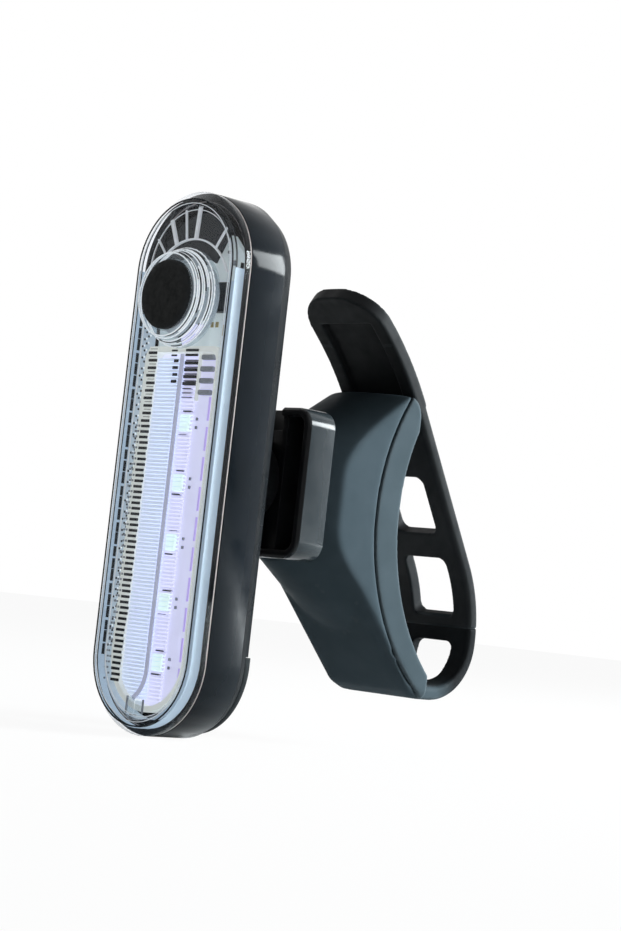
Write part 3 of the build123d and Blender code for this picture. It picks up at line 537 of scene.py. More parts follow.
def lens_ring(name, inset, width, front, rear, made_of):
    """A narrow wall round the lens, inside its clear rim."""
    mesh = bmesh.new()
    corners = ((inset, rear), (inset, front), (inset + width, front), (inset + width, rear))
    skin(mesh, [stadium(*corner) for corner in corners], closed=True)
    piece(name, mesh, made_of, "lamp", IN_LENS, smooth=False)


def lens_trough(name, inset, width, front, rear, made_of, high):
    """A narrow wall down both sides of the lens and round its lower end, open above a height."""
    corners = ((inset, rear), (inset, front), (inset + width, front), (inset + width, rear))
    turns = [math.pi * (1 + step / ROUND_STEPS) for step in range(ROUND_STEPS + 1)]
    stops = [(turns[0], high)] + [(turn, ARC_END) for turn in turns] + [(turns[-1], high)]
    rows = []
    for turn, height in stops:
        row = []
        for drawn_in, depth in corners:
            reach = LAMP_RADIUS - drawn_in
            row.append((reach * math.cos(turn), depth, height + reach * math.sin(turn)))
        rows.append(row)
    mesh = bmesh.new()
    skin(mesh, rows, capped=True)
    rounded(piece(name, mesh, made_of, "lamp", IN_LENS, smooth=False), TROUGH_EDGE)


ARC_END = LAMP_MID - LAMP_HALF + LAMP_RADIUS
TROUGH_EDGE = 0.04
GUIDE_INSET = 1.2
GUIDE_WALL = 0.15
GUIDE_FRONT = -46.4
GUIDE_REAR = -44.4
GUIDE_GAP = 0.01
GUIDE_LINER = GUIDE_INSET + GUIDE_WALL + GUIDE_GAP
FROST_WALL = 0.12
FROST_FRONT = -45.7
FROST_REAR = -42.5
FROST_TOP = 33.0
lens_trough("rim_guide", GUIDE_INSET, GUIDE_WALL, GUIDE_FRONT, GUIDE_REAR, guide_blue, ARC_LOW)
lens_trough("rim_spigot", CAVITY_INSET, FROST_WALL, FROST_FRONT, FROST_REAR, frost_blue, FROST_TOP)

# Fine lines round the lens, painted in place of the light and dark lines that the thick clear rim shows
# by refraction and sheen: each with its inset, width, front and rear
RIM_LINES = (
    ("rim_dark_line", mark_and_shade_black, GUIDE_LINER, 0.1, -46.25, -45.95),
    ("rim_front_line", mark_and_shade_black, 1.4, 0.25, -46.97, -46.85),
    ("rim_fine_line", rib_clear, 2.15, 0.12, -46.95, -46.85),
    ("cavity_fine_line", rib_clear, 3.05, 0.12, -45.78, -45.65),
)
for name, made_of, inset, width, front, rear in RIM_LINES:
    lens_ring(name, inset, width, front, rear, made_of)

# Dashes along both sides of the rim, of uneven length
DASH_COUNT = 32
DASH_LOW = -29.5
DASH_PITCH = 2.05
DASH_LENGTH = 1.8
DASH_SPREAD = 0.2
DASH_WAVE = 2.3
DASH_HALF = 0.05
DASH_INSET = GUIDE_LINER + 0.06
DASH_FRONT = -45.2
DASH_REAR = -44.5
dashes = []
for side in (-1, 1):
    across = side * (LAMP_RADIUS - DASH_INSET)
    for step in range(DASH_COUNT):
        low = DASH_LOW + DASH_PITCH * step
        high = low + DASH_LENGTH + DASH_SPREAD * math.sin(DASH_WAVE * step)
        dashes.append(((across - DASH_HALF, DASH_FRONT, low), (across + DASH_HALF, DASH_REAR, high)))
blocks("rim_dashes", dashes, mark_and_shade_black, "lamp", FINE_EDGE, IN_LENS)

# Small marks along the inner sides of the frosted wall, scattered in depth: a dark and a light one at
# each place, with their front, rear, low and high side from it
SPECK_COUNT = 96
SPECK_LOW = -28.0
SPECK_STEP = 0.62
SPECK_GAP = 0.2
SPECK_THICK = 0.1
SPECK_X = LAMP_RADIUS - CAVITY_INSET - SPECK_GAP
SPECK_FRONT = -45.5
SPECK_SCATTER = 1.3
SPECK_TURN = 0.618
DARK_SPECK = (0, 0.3, 0, 0.34)
LIGHT_SPECK = (0.42, 0.66, 0.2, 0.5)
marks_dark = []
marks_light = []
kinds = ((marks_dark, DARK_SPECK), (marks_light, LIGHT_SPECK))
for step in range(SPECK_COUNT):
    low = SPECK_LOW + SPECK_STEP * step
    front = SPECK_FRONT + SPECK_SCATTER * math.fmod(SPECK_TURN * step, 1.0)
    for side in (-1, 1):
        near, far = sorted((side * SPECK_X, side * (SPECK_X - SPECK_THICK)))
        for marks, (ahead, behind, below, above) in kinds:
            marks.append(((near, front + ahead, low + below), (far, front + behind, low + above)))
blocks("wall_marks_dark", marks_dark, mark_and_shade_black, "lamp", FINE_EDGE, IN_LENS)
blocks("wall_marks_light", marks_light, rib_bright, "lamp", FINE_EDGE, IN_LENS)

# Grey lines and two clear pads at the lens's lower end, each between two corners
END_LINES = (
    ((-3.5, -45.75, -38.4), (-3.3, -45.4, -35.6)),
    ((0.5, -45.75, -38.2), (0.7, -45.4, -35.9)),
    ((-2.3, -45.75, -38.7), (-0.9, -45.4, -38.5)),
)
END_PADS = (
    ((-3.3, -45.7, -38.3), (-1.6, -45.45, -35.7)),
    ((-1.3, -45.7, -38.3), (0.5, -45.45, -36.2)),
)
blocks("end_lines", END_LINES, chip_grey, "lamp", width=0.04, replaces=IN_LENS)
blocks("end_pads", END_PADS, boss_glass, "lamp", width=0.1, replaces=IN_LENS)

# Front pane, a fine gap inside the rim
PANE_GAP = 0.05
mesh = bmesh.new()
skin(
    mesh,
    [
        stadium(CAVITY_INSET - RIM_STEP + PANE_GAP, LENS_FRONT),
        ring(BOSS_RADIUS, LENS_FRONT),
        ring(BOSS_RADIUS, LENS_INNER),
        stadium(CAVITY_INSET + PANE_GAP, LENS_INNER),
    ],
    closed=True,
)
piece("lens_pane", mesh, pane_glass, "lamp", IN_LENS, smooth=False)

# The button's boss, a stepped cone
BOSS_STEPS = 4
BOSS_STEP_SHARE = 0.75
BOSS_STEP_INSET = 0.14
mesh = bmesh.new()
loops = [ring(BOSS_RADIUS, LENS_INNER), ring(BOSS_RADIUS, LENS_FRONT)]
for step in range(BOSS_STEPS):
    low = step / BOSS_STEPS
    high = (step + BOSS_STEP_SHARE) / BOSS_STEPS
    for share, inward in ((low, 0), (high, 0), (high, BOSS_STEP_INSET)):
        radius = BOSS_RADIUS + share * (BOSS_TOP_RADIUS - BOSS_RADIUS) - inward
        loops.append(ring(radius, LENS_FRONT + share * (BOSS_TOP - LENS_FRONT)))
loops += [ring(BOSS_TOP_RADIUS, BOSS_TOP), ring(BOSS_HOLE, BOSS_TOP), ring(BOSS_HOLE, LENS_INNER)]
skin(mesh, loops, closed=True)
rounded(piece("lens_boss", mesh, boss_glass, "lamp", IN_LENS), width=0.08)


def boss_arcs(name, arcs, made_of, width):
    """Fine painted arcs on the boss's cone, each at a share of its height, from a start over a sweep."""
    mesh = bmesh.new()
    for share, start, sweep in arcs:
        radius = BOSS_RADIUS + share * (BOSS_TOP_RADIUS - BOSS_RADIUS) - ARC_SINK
        depth = LENS_FRONT + share * (BOSS_TOP - LENS_FRONT)
        arc_band(mesh, radius, width, depth, depth + ARC_DEPTH, start, sweep)
    piece(name, mesh, made_of, "lamp", IN_LENS)


ARC_SINK = 0.06
ARC_DEPTH = 0.16
BOSS_LIGHT = (
    (0.02, 0, 360), (0.27, 0, 360), (0.52, -100, 200), (0.77, 0, 360), (0.99, 0, 360),
    (0.15, -50, 80), (0.36, 10, 70), (0.62, -20, 60), (0.86, -60, 110),
)
BOSS_DARK = (
    (0.09, -95, 60), (0.21, -30, 50), (0.31, -80, 45), (0.45, 5, 55), (0.58, -70, 40), (0.69, -25, 60),
    (0.81, 20, 60), (0.93, -85, 80), (0.41, -110, 40), (0.18, 40, 60),
)
BOSS_LILAC = ((0.12, -75, 40), (0.24, -72, 36), (0.36, -70, 32), (0.48, -66, 28))
# Painted light: bright arcs as highlights on the steps, dark arcs as dark lines in the clear plastic,
# lilac arcs as the lilac panel seen through the cone
boss_arcs("boss_rings", BOSS_LIGHT, rib_bright, width=0.2)
boss_arcs("boss_lines", BOSS_DARK, mark_and_shade_black, width=0.16)
boss_arcs("boss_painted_lilac", BOSS_LILAC, panel_lilac, width=0.3)


# Fan over the button: clear spokes, a collar and a dark mask behind them
def fan_reach(turn, inset):
    """How far the lens's inner wall is from the button's axis, at an angle."""
    lift = BUTTON_Z - ARC_LOW
    inner = LAMP_RADIUS - inset
    return -lift * math.sin(turn) + math.sqrt(inner**2 - (lift * math.cos(turn)) ** 2)


mesh = bmesh.new()
for angle, width in FAN_SPOKES:
    turn = math.radians(angle)
    spoke = bmesh.new()
    high = (fan_reach(turn, CAVITY_INSET), LENS_INNER + FAN_SPOKE_DEPTH, width / 2)
    block(spoke, (FAN_RADIUS, LENS_INNER, -width / 2), high)
    spoke.transform(Matrix.Translation((0, 0, BUTTON_Z)) @ Matrix.Rotation(-turn, 4, "Y"))
    held = bpy.data.meshes.new("spoke")
    spoke.to_mesh(held)
    spoke.free()
    mesh.from_mesh(held)
rounded(piece("lens_fan", mesh, rib_clear, "lamp", IN_LENS, smooth=False), width=0.12)

COLLAR_WALL = 0.3
COLLAR_START = 25.0
COLLAR_SWEEP = 130.0
mesh = bmesh.new()
collar_rear = LENS_INNER + FAN_SPOKE_DEPTH
arc_band(mesh, FAN_RADIUS, COLLAR_WALL, LENS_INNER, collar_rear, COLLAR_START, COLLAR_SWEEP)
rounded(piece("lens_collar", mesh, rib_clear, "lamp", IN_LENS, smooth=False), width=0.1)

MASK_STEPS = 48
MASK_START = 60.0
MASK_SWEEP = 112.0
MASK_GAP = 0.5
MASK_RADIUS = 7.2
MASK_FRONT = -43.5
MASK_REAR = -43.0
mesh = bmesh.new()
rows = []
for step in range(MASK_STEPS + 1):
    turn = math.radians(MASK_START + MASK_SWEEP * step / MASK_STEPS)
    reach = fan_reach(turn, CAVITY_INSET + MASK_GAP)
    outer = ((reach, MASK_FRONT), (reach, MASK_REAR))
    corners = []
    for out, depth in ((MASK_RADIUS, MASK_FRONT), *outer, (MASK_RADIUS, MASK_REAR)):
        corners.append((out * math.cos(turn), depth, BUTTON_Z + out * math.sin(turn)))
    rows.append(corners)
skin(mesh, rows, capped=True)
rounded(piece("fan_mask", mesh, mask_black, "lamp", smooth=False), width=0.1)

# Button: a matt black disc with a lightly crowned face, on a pale skirt
DISC_STEPS = 6
DISC_BACK = -49.4
DISC_CROWN = 0.12
DISC_EDGE_DEPTH = 0.35
DISC_EDGE_INSET = 0.12
DISC_FACE_INSET = 0.4
mesh = bmesh.new()
loops = [ring(BUTTON_RADIUS, DISC_BACK), ring(BUTTON_RADIUS, BUTTON_FACE + DISC_EDGE_DEPTH)]
loops.append(ring(BUTTON_RADIUS - DISC_EDGE_INSET, BUTTON_FACE + DISC_CROWN))
for step in range(DISC_STEPS):
    share = step / DISC_STEPS
    depth = BUTTON_FACE + DISC_CROWN * share * (1 - share)
    loops.append(ring((BUTTON_RADIUS - DISC_FACE_INSET) * (1 - share), depth))
skin(mesh, loops, capped=True)
piece("button_disc", mesh, button_black, "button", ("button_cap",))

# Radius and depth of each of the skirt's rings
SKIRT_RINGS = ((5.0, DISC_BACK), (5.0, -45.6), (6.9, -45.5), (6.9, -44.7))
mesh = bmesh.new()
skin(mesh, [ring(radius, depth) for radius, depth in SKIRT_RINGS], capped=True)
piece("button_skirt", mesh, skirt_pale, "button", ("button_cap",))

# Board with its screw, chip, pins and pads
dressed("circuit_board", board_pale, width=0.05, segments=1)
dressed("board_screw", steel, width=0.08)
dressed("switch_base", steel, width=0.1)
dressed("switch_plunger", chip_black, width=0.1)
dressed("board_chips", chip_black, width=0.1)

# Small parts on the board: left, right, low and high side of each, and for the last kind its front too
BOARD_FACE = -42.0
PAD_FRONT = -42.12
PAD_REAR = -42.02
PAD_SIDES = (
    (5.6, 7.4, 24.6, 26.4),
    (-7.2, -5.4, 24.6, 26.4),
    (2.6, 3.3, 26.0, 26.9),
    (3.8, 4.5, 26.0, 26.9),
)
PIN_COUNT = 4
PIN_LOW = BUTTON_Z - 1.4
PIN_PITCH = 1.27
PIN_HEIGHT = 0.5
PIN_FRONT = -42.3
PIN_SIDES = ((6.8, 7.7), (3.1, 4.0))
BITS = (
    (6.4, 7.4, 36.2, 37.0, -42.6),
    (5.2, 5.9, 38.2, 38.7, -42.5),
    (7.6, 8.6, 23.2, 23.8, -42.5),
    (7.7, 8.3, 34.2, 35.4, -42.6),
)
pads = [((left, PAD_FRONT, low), (right, PAD_REAR, high)) for left, right, low, high in PAD_SIDES]
blocks("board_pads", pads, gold, "lamp", FINE_EDGE)
pins = []
for step in range(PIN_COUNT):
    height = PIN_LOW + PIN_PITCH * step
    for left, right in PIN_SIDES:
        pins.append(((left, PIN_FRONT, height), (right, BOARD_FACE, height + PIN_HEIGHT)))
blocks("chip_pins", pins, nickel, "lamp", width=0.04)
bits = [((left, front, low), (right, BOARD_FACE, high)) for left, right, low, high, front in BITS]
blocks("board_bits", bits, chip_grey, "lamp", width=0.08)


def tray_loop(inset, depth):
    """Points round the tray: a round end below, a flat end with round corners above."""
    radius = LAMP_RADIUS - inset
    high = TRAY_HIGH - (inset - TRAY_INSET)
    corner = TRAY_CORNER - (inset - TRAY_INSET) / 2
    points = []
    for side in (1, -1):
        for step in range(CORNER_STEPS + 1):
            share = step / CORNER_STEPS
            turn = math.pi / 2 * (share if side > 0 else 1 + share)
            across = side * (radius - corner) + corner * math.cos(turn)
            points.append((across, depth, high - corner + corner * math.sin(turn)))
    for step in range(ROUND_STEPS + 1):
        turn = math.pi * (1 + step / ROUND_STEPS)
        points.append((radius * math.cos(turn), depth, ARC_END + radius * math.sin(turn)))
    return points


# Tray: a cream wall round a glowing floor
IN_TRAY = ("reflector_tray",)
mesh = bmesh.new()
skin(
    mesh,
    [
        tray_loop(TRAY_INSET, TRAY_BACK),
        tray_loop(TRAY_INSET, TRAY_FRONT),
        tray_loop(TRAY_INSET + TRAY_WALL, TRAY_FRONT),
        tray_loop(TRAY_INSET + TRAY_WALL, TRAY_FLOOR),
    ],
)
rounded(piece("tray_wall", mesh, strip_cream, "lamp", IN_TRAY, smooth=False), width=0.12)
mesh = bmesh.new()
rim = TRAY_INSET + TRAY_WALL
skin(mesh, [tray_loop(rim, TRAY_FLOOR), tray_loop(rim, TRAY_BACK)], capped=True)
piece("tray_floor", mesh, panel_lilac, "lamp", IN_TRAY, smooth=False)

# Ribbed panels on both halves, each with its left and right side and its height over the floor
IN_OPTIC = ("prism_optic",)
RIB_PITCH = 0.63
RIB_SHARE = 0.8
RIB_TOP_GAP = 1.5
RIB_EDGE = 0.16
RIB_PANELS = (
    ("panel_ribs_left", panel_blue, -7.2, -1.9, 1.6),
    ("panel_ribs_right", panel_lilac, -1.3, 1.6, 0.5),
)
rib_count = int((TRAY_HIGH - RIB_TOP_GAP - TRAY_LOW) / RIB_PITCH)
for name, made_of, left, right, height in RIB_PANELS:
    ribs = []
    for step in range(rib_count):
        low = TRAY_LOW + step * RIB_PITCH
        ribs.append(((left, TRAY_FLOOR - height, low), (right, TRAY_FLOOR, low + RIB_SHARE * RIB_PITCH)))
    blocks(name, ribs, made_of, "lamp", RIB_EDGE, IN_OPTIC)

# Toothed column on the left: close teeth with small specks below, wide ones with a thin bar above
TOOTH_LEFT = -8.3
TOOTH_RIGHT = -6.25
TOOTH_LOW = TRAY_LOW + 2.4
TOOTH_HIGH = TRAY_HIGH - 0.8
TOOTH_CHANGE = 9.0
TOOTH_WIDE_PITCH = 1.27
TOOTH_CLOSE_PITCH = 0.92
TOOTH_FRONT = -45.35
TOOTH_REAR = TOOTH_FRONT + 0.2
TOOTH_HEIGHT = 0.46
TOOTH_GAP = 0.02
TOOTH_SWING = 0.12
TOOTH_WAVE = 2.1
TOOTH_TURN = -24.0
TOOTH_SHIFT = 0.3
THIN_LEFT = TOOTH_LEFT + 0.3
THIN_LOW = 0.8
THIN_HIGH = 0.92
SPECK_COLUMNS = (-9.1, -9.75)
SPECK_WIDTH = 0.35
SPECK_RISE = 0.1
teeth = []
gaps = []
specks = []
low = TOOTH_LOW
step = 0
while low < TOOTH_HIGH:
    upper = low > TOOTH_CHANGE
    pitch = TOOTH_WIDE_PITCH if upper else TOOTH_CLOSE_PITCH
    slide = TOOTH_SWING * math.sin(TOOTH_WAVE * step) - (TOOTH_SHIFT if low < TOOTH_TURN else 0)
    high = low + TOOTH_HEIGHT
    teeth.append(((TOOTH_LEFT + slide, TOOTH_FRONT, low), (TOOTH_RIGHT + slide, TOOTH_REAR, high)))
    gap_low = (TOOTH_LEFT, TOOTH_FRONT + TOOTH_GAP, high + TOOTH_GAP)
    gaps.append((gap_low, (TOOTH_RIGHT, TOOTH_REAR, low + pitch - TOOTH_GAP)))
    if upper:
        thin_high = (TOOTH_RIGHT, TOOTH_REAR, low + THIN_HIGH)
        teeth.append(((THIN_LEFT, TOOTH_FRONT, low + THIN_LOW), thin_high))
    else:
        for across in SPECK_COLUMNS:
            left = across + 2 * slide
            speck_low = low + SPECK_RISE
            speck_high = (left + SPECK_WIDTH, TOOTH_REAR, speck_low + SPECK_WIDTH)
            specks.append(((left, TOOTH_FRONT, speck_low), speck_high))
    low += pitch
    step += 1
blocks("tooth_bars", teeth, mark_and_shade_black, "lamp", MARK_EDGE, IN_OPTIC)
blocks("tooth_gaps", gaps, strip_cream, "lamp", MARK_EDGE, IN_OPTIC)
blocks("tooth_specks", specks, chip_grey, "lamp", MARK_EDGE, IN_OPTIC)

# Grey spine down the middle, curving off to the left at its lower end
SPINE_BEND = 6.0
SPINE_HALF = 0.42
SPINE_X = -0.55
SPINE_FRONT = -44.8
SPINE_REAR = -44.5
SPINE_SWEEP = 56.0
SPINE_STEPS = 8
SPINE_LOW = TRAY_LOW + SPINE_BEND - 1.0
SPINE_HIGH = TRAY_HIGH - 1.2
line = [(SPINE_X, SPINE_HIGH, 0)]
for step in range(SPINE_STEPS + 1):
    turn = math.radians(SPINE_SWEEP) * step / SPINE_STEPS
    across = SPINE_X + SPINE_BEND * (math.cos(turn) - 1)
    line.append((across, SPINE_LOW - SPINE_BEND * math.sin(turn), turn))
mesh = bmesh.new()
rows = []
for across, height, turn in line:
    corners = []
    for side, depth in ((-1, SPINE_FRONT), (1, SPINE_FRONT), (1, SPINE_REAR), (-1, SPINE_REAR)):
        x = across + side * SPINE_HALF * math.cos(turn)
        corners.append((x, depth, height - side * SPINE_HALF * math.sin(turn)))
    rows.append(corners)
skin(mesh, rows, capped=True)
rounded(piece("tray_spine", mesh, spine_grey, "lamp", IN_OPTIC, smooth=False), width=0.12)

# Light chips with their lines, solder marks and dots, and the dashed line on the right
LED_FRONT = -43.3
LED_EDGE = 0.2
LINE_FRONT = -43.36
LINE_REAR = -43.2
LINE_HALF = 1.0
LINE_DROPS = (-0.75, 0.1, 0.8)
LINE_HEIGHT = 0.12
MARK_REAR = -42.4
MARK_HALF = 0.9
MARK_SHIFTS = ((1, 0.3), (-1, -0.2))
MARK_GAP = 0.55
MARK_THICK = 0.11
MARK_THIN = 0.05
DOT_FRONT = -42.9
DOT_LEFT = LED_X + 2.3
DOT_RIGHT = LED_X + 2.65
DOT_DROPS = (-0.9, 0.5)
DOT_HEIGHT = 0.5
SIDE_DASH_LEFT = 5.0
SIDE_DASH_RIGHT = 5.4
SIDE_DASH_FRONT = -42.75
SIDE_DASH_REAR = -42.55
SIDE_DASH_DROP = 4.4
SIDE_DASH_LENGTH = 3.9
led_boxes = []
lines = []
marks = []
dots = []
dashes = []
for step in range(LED_COUNT):
    height = LED_FIRST + step * LED_PITCH
    low = (LED_X - LED_WIDTH / 2, LED_FRONT, height - LED_LENGTH / 2)
    high = (LED_X + LED_WIDTH / 2, BOARD_FACE, height + LED_LENGTH / 2)
    led_boxes.append((low, high))
    for side, shift in MARK_SHIFTS:
        edge = height + side * (LED_LENGTH / 2 + MARK_GAP)
        thick = MARK_THICK if (step + side) % 3 else MARK_THIN
        middle = LED_X + shift
        corner = (middle + MARK_HALF, MARK_REAR, edge + thick)
        marks.append(((middle - MARK_HALF, LED_FRONT, edge - thick), corner))
    for drop in LINE_DROPS:
        low = height + drop
        corner = (LED_X + LINE_HALF, LINE_REAR, low + LINE_HEIGHT)
        lines.append(((LED_X - LINE_HALF, LINE_FRONT, low), corner))
    for drop in DOT_DROPS:
        low = height + drop
        dots.append(((DOT_LEFT, DOT_FRONT, low), (DOT_RIGHT, MARK_REAR, low + DOT_HEIGHT)))
    for side in (0, 1):
        low = height - SIDE_DASH_DROP + side * (LED_PITCH / 2)
        high = low + SIDE_DASH_LENGTH
        dashes.append(((SIDE_DASH_LEFT, SIDE_DASH_FRONT, low), (SIDE_DASH_RIGHT, SIDE_DASH_REAR, high)))
blocks("led_squares", led_boxes, led_white, "lamp", LED_EDGE, ("led_chips",))
blocks("led_marks", marks, mark_and_shade_black, "lamp", MARK_EDGE)
blocks("led_lines", lines, panel_blue, "lamp", FINE_EDGE, ("led_chips",))
blocks("led_dots", dots, chip_grey, "lamp", MARK_EDGE)
blocks("side_dashes", dashes, dash_purple, "lamp", MARK_EDGE)

# Dark bars at the tray's upper end: left, right, front, rear, low and high side, and sideways step
BAR_COUNT = 4
BAR_LOW = 16.2
BAR_PITCH = 1.15
BAR_GROUP = (
    (-1.4, 1.7, LED_FRONT, MARK_REAR, 0, 0.55, 0),
    (-1.2, 1.85, LED_FRONT, MARK_REAR, 0.62, 0.8, 0),
    (-3.1, -1.85, -44.4, -44.2, 0.2, 0.7, 0.2),
)
TOP_LOWS = (20.7, 21.5)
TOP_REAR = TOOTH_FRONT + 0.15
TOP_GROUP = ((0.9, 4.0, 0.42), (-2.6, -1.2, 0.3))
THIN_COUNT = 3
THIN_FIRST = 14.1
THIN_PITCH = 0.72
THIN_THICK = 0.16
THIN_START = -1.3
THIN_END = 1.2
THIN_TAPER = 0.3
top_bars = []
for step in range(BAR_COUNT):
    height = BAR_LOW + step * BAR_PITCH
    for left, right, front, rear, low, high, shift in BAR_GROUP:
        start = left + shift * (step % 2)
        top_bars.append(((start, front, height + low), (right, rear, height + high)))
for low in TOP_LOWS:
    for left, right, thick in TOP_GROUP:
        top_bars.append(((left, TOOTH_FRONT, low), (right, TOP_REAR, low + thick)))
for step in range(THIN_COUNT):
    low = THIN_FIRST + step * THIN_PITCH
    right = THIN_END - THIN_TAPER * step
    top_bars.append(((THIN_START, LED_FRONT, low), (right, MARK_REAR, low + THIN_THICK)))
blocks("upper_bars", top_bars, mark_and_shade_black, "lamp")

# Grey boxes beside them, and a pale line between the two
BOX_COUNT = 4
BOX_LOW = 14.6
BOX_PITCH = 1.95
BOX_HEIGHT = 0.9
BOX_LEFT = 2.5
BOX_RIGHT = 5.5
UPPER_LINE = ((1.95, LED_FRONT, 13.6), (2.25, MARK_REAR, 22.0))
grey_boxes = []
for step in range(BOX_COUNT):
    low = BOX_LOW + step * BOX_PITCH
    grey_boxes.append(((BOX_LEFT, LED_FRONT, low), (BOX_RIGHT, MARK_REAR, low + BOX_HEIGHT)))
blocks("upper_boxes", grey_boxes, chip_grey, "lamp", width=0.25)
blocks("upper_line", [UPPER_LINE], strip_cream, "lamp", width=0.08)

# Dock: glossy on its outer sides, dull inside and on its front
DOCK_BAND = 1.3
DOCK_LIP = 0.3
dock = dressed("dock_block", dock_gloss, width=0.3, segments=3)
dock.data.materials.append(recess_black)
low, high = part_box("dock_block")
for face in dock.data.polygons:
    middle = face.center
    inside = min(middle.x - low.x, high.x - middle.x, middle.z - low.z, high.z - middle.z)
    if inside > DOCK_BAND * MM or middle.y < low.y + DOCK_LIP * MM:
        face.material_index = 1

# Other pieces that follow their solids: each with its edge width and segments, or its grid and rounds
PLAIN_PIECES = (
    ("dock_foot", recess_black, 0.25, 2),
    ("port_cover", strap_black, 0.25, 2),
    ("cover_tether", strap_black, 0.2, 2),
    ("battery_tape", foam_tape, 0.05, 1),
    ("battery_cell", cell_foil, 0.4, 3),
    ("battery_tabs", nickel, 0.03, 1),
    ("port_socket", nickel, 0.08, 2),
    ("swivel_insert", brass, 0.08, 2),
    ("swivel_washer", steel, 0.06, 2),
    ("swivel_screw", steel, 0.12, 2),
    ("dock_screws", steel, 0.06, 2),
    ("detent_leaf", steel, 0.04, 1),
)
SOFT_PIECES = (
    ("saddle_body", satin_black, 0.3, 40),
    ("saddle_liner", liner_grey, 0.26, 8),
    ("strap", strap_black, 0.22, 6),
)
for node, made_of, width, segments in PLAIN_PIECES:
    dressed(node, made_of, width, segments)
for node, made_of, grid, rounds in SOFT_PIECES:
    moulded(node, made_of, grid, rounds)

# Short band inside the strap at its flex line
BAND_LOW = -20.3
BAND_HIGH = -16.3
BAND_STEPS = 16
BAND_HALF = 8.5
BAND_DEPTH = 1.95
STRAP_OUTER = 25.15
STRAP_CURVE = 52.0
STRAP_WIDEST = -20.5
mesh = bmesh.new()
rows = []
for step in range(BAND_STEPS + 1):
    height = BAND_LOW + (BAND_HIGH - BAND_LOW) * step / BAND_STEPS
    outer = STRAP_OUTER - (height - STRAP_WIDEST) ** 2 / STRAP_CURVE
    inner = outer - BAND_DEPTH
    corners = ((-BAND_HALF, outer), (BAND_HALF, outer), (BAND_HALF, inner), (-BAND_HALF, inner))
    rows.append([(across, depth, height) for across, depth in corners])
skin(mesh, rows, capped=True)
band = piece("strap_flex", mesh, strap_black, None, ("strap",))
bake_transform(band)

# Camera at the photograph's place
CAMERA_TURN = 45.491
CAMERA_TILT = -3.623
CAMERA_ROLL = 6.348
CAMERA_PLACE = (0.2868, -0.2949, -0.0189)
CAMERA_LENS = 89.56
CAMERA_SENSOR = 36
CAMERA_NEAR = 0.01
turn = math.radians(CAMERA_TURN)
tilt = math.radians(CAMERA_TILT)
roll = math.radians(CAMERA_ROLL)
back = Vector((math.sin(turn) * math.cos(tilt), -math.cos(turn) * math.cos(tilt), math.sin(tilt)))
right = Vector((math.cos(turn), math.sin(turn), 0))
up = back.cross(right)
side = right * math.cos(roll) + up * math.sin(roll)
top = up * math.cos(roll) - right * math.sin(roll)
camera_data = bpy.data.cameras.new("camera")
camera = bpy.data.objects.new("camera", camera_data)
bpy.context.scene.collection.objects.link(camera)
camera_data.lens = CAMERA_LENS
camera_data.sensor_width = CAMERA_SENSOR
camera_data.clip_start = CAMERA_NEAR
camera.location = CAMERA_PLACE
camera.rotation_mode = "QUATERNION"
camera.rotation_quaternion = Matrix((side, top, back)).transposed().to_quaternion()
bpy.context.scene.camera = camera


# Light: behind on the right a wide box for the highlights alone and one for the dull surfaces alone,
# and a weak box in front
LIGHT_COLOUR = (0.92, 0.98, 1.0)
HIGH_FROM = (0.63, 0.675, 0.39)
SIDE_FROM = (0.5, 0.85, 0.22)
FRONT_FROM = (-0.3, -1.0, 0.5)


def soft_box(name, direction, reach, width, height, power):
    """An area light that looks at the object from a direction."""
    data = bpy.data.lights.new(name, "AREA")
    data.shape = "RECTANGLE"
    data.size = width
    data.size_y = height
    data.energy = power
    data.color = LIGHT_COLOUR
    made = bpy.data.objects.new(name, data)
    bpy.context.scene.collection.objects.link(made)
    made.location = Vector(direction).normalized() * reach
    made.rotation_mode = "QUATERNION"
    made.rotation_quaternion = made.location.to_track_quat("Z", "Y")
    return made


high_box = soft_box("high_box", HIGH_FROM, reach=0.6, width=0.44, height=0.17, power=5.4)
high_box.visible_diffuse = False
side_box = soft_box("side_box", SIDE_FROM, reach=0.7, width=0.3, height=0.3, power=27.0)
side_box.visible_glossy = False
soft_box("front_box", FRONT_FROM, reach=0.7, width=0.5, height=0.5, power=0.2)

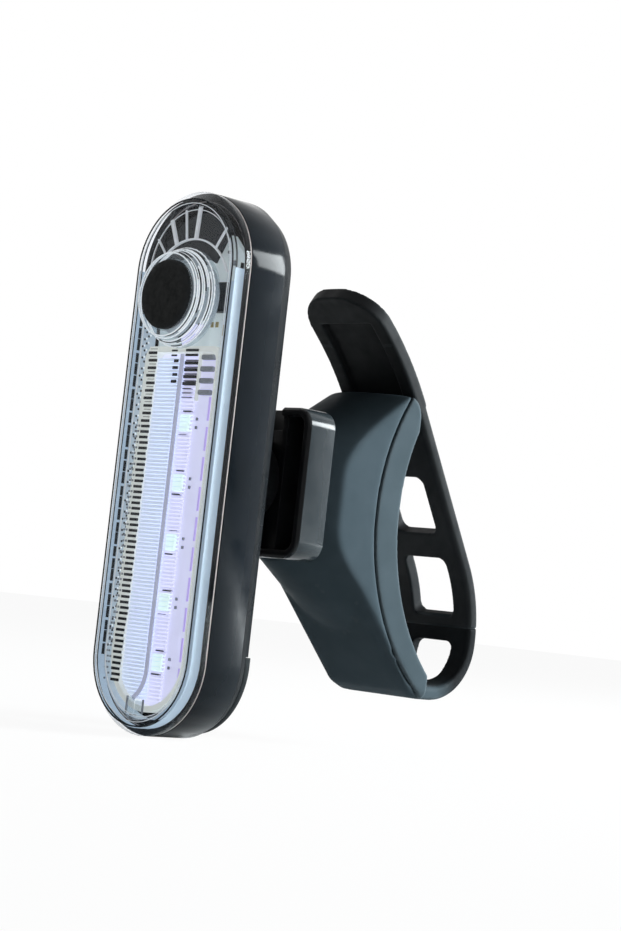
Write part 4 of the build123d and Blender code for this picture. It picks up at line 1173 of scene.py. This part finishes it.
# World: plain white where the camera, a mirror or clear plastic sees it, a soft light elsewhere
SKY_COLOUR = (0.95, 0.97, 1.0, 1)
SKY_STRENGTH = 0.12
WHITE = (1, 1, 1, 1)
world = bpy.data.worlds.new("studio")
bpy.context.scene.world = world
world.use_nodes = True
nodes = world.node_tree.nodes
links = world.node_tree.links
nodes.clear()
path = nodes.new("ShaderNodeLightPath")
seen = path.outputs["Is Camera Ray"]
for ray in ("Is Glossy Ray", "Is Transmission Ray"):
    either = nodes.new("ShaderNodeMath")
    either.operation = "MAXIMUM"
    links.new(seen, either.inputs[0])
    links.new(path.outputs[ray], either.inputs[1])
    seen = either.outputs[0]
soft = nodes.new("ShaderNodeBackground")
soft.inputs["Color"].default_value = SKY_COLOUR
soft.inputs["Strength"].default_value = SKY_STRENGTH
plain = nodes.new("ShaderNodeBackground")
plain.inputs["Color"].default_value = WHITE
plain.inputs["Strength"].default_value = 1.0
choice = nodes.new("ShaderNodeMixShader")
output = nodes.new("ShaderNodeOutputWorld")
links.new(seen, choice.inputs["Fac"])
links.new(soft.outputs[0], choice.inputs[1])
links.new(plain.outputs[0], choice.inputs[2])
links.new(choice.outputs[0], output.inputs["Surface"])

# Pale floor that the camera sees as white with a faint shadow
FLOOR_HALF = 3.0
FLOOR_GAP = 0.1
FLOOR_PATCH = 6
FLOOR_DARK = (0.62, 0.62, 0.62)
FLOOR_PALE = (0.66, 0.66, 0.66)
FLOOR_ROUGH = 0.9
FLOOR_GLOW = 0.94
mesh = bmesh.new()
bmesh.ops.create_grid(mesh, x_segments=1, y_segments=1, size=FLOOR_HALF)
data = bpy.data.meshes.new("floor")
mesh.to_mesh(data)
mesh.free()
floor = bpy.data.objects.new("floor", data)
bpy.context.scene.collection.objects.link(floor)
floor.location = (0, 0, cad_box[0].z - FLOOR_GAP * MM)
look = Look("floor_white")
tone = look.ranged(look.noise(FLOOR_PATCH), 0, 1)
look.links.new(look.mixed(tone, FLOOR_DARK, FLOOR_PALE), look.shader.inputs["Base Color"])
look.set(Roughness=FLOOR_ROUGH)
path = look.nodes.new("ShaderNodeLightPath")
glow = look.nodes.new("ShaderNodeEmission")
glow.inputs["Color"].default_value = WHITE
share = look.ranged(path.outputs["Is Camera Ray"], 0, FLOOR_GLOW, 0, 1)
choice = look.nodes.new("ShaderNodeMixShader")
look.links.new(share, choice.inputs["Fac"])
look.links.new(look.shader.outputs[0], choice.inputs[1])
look.links.new(glow.outputs[0], choice.inputs[2])
look.links.new(choice.outputs[0], look.nodes["Material Output"].inputs["Surface"])
data.materials.append(look.material)

bpy.context.scene.view_settings.view_transform = "Standard"

bpy.context.view_layer.update()
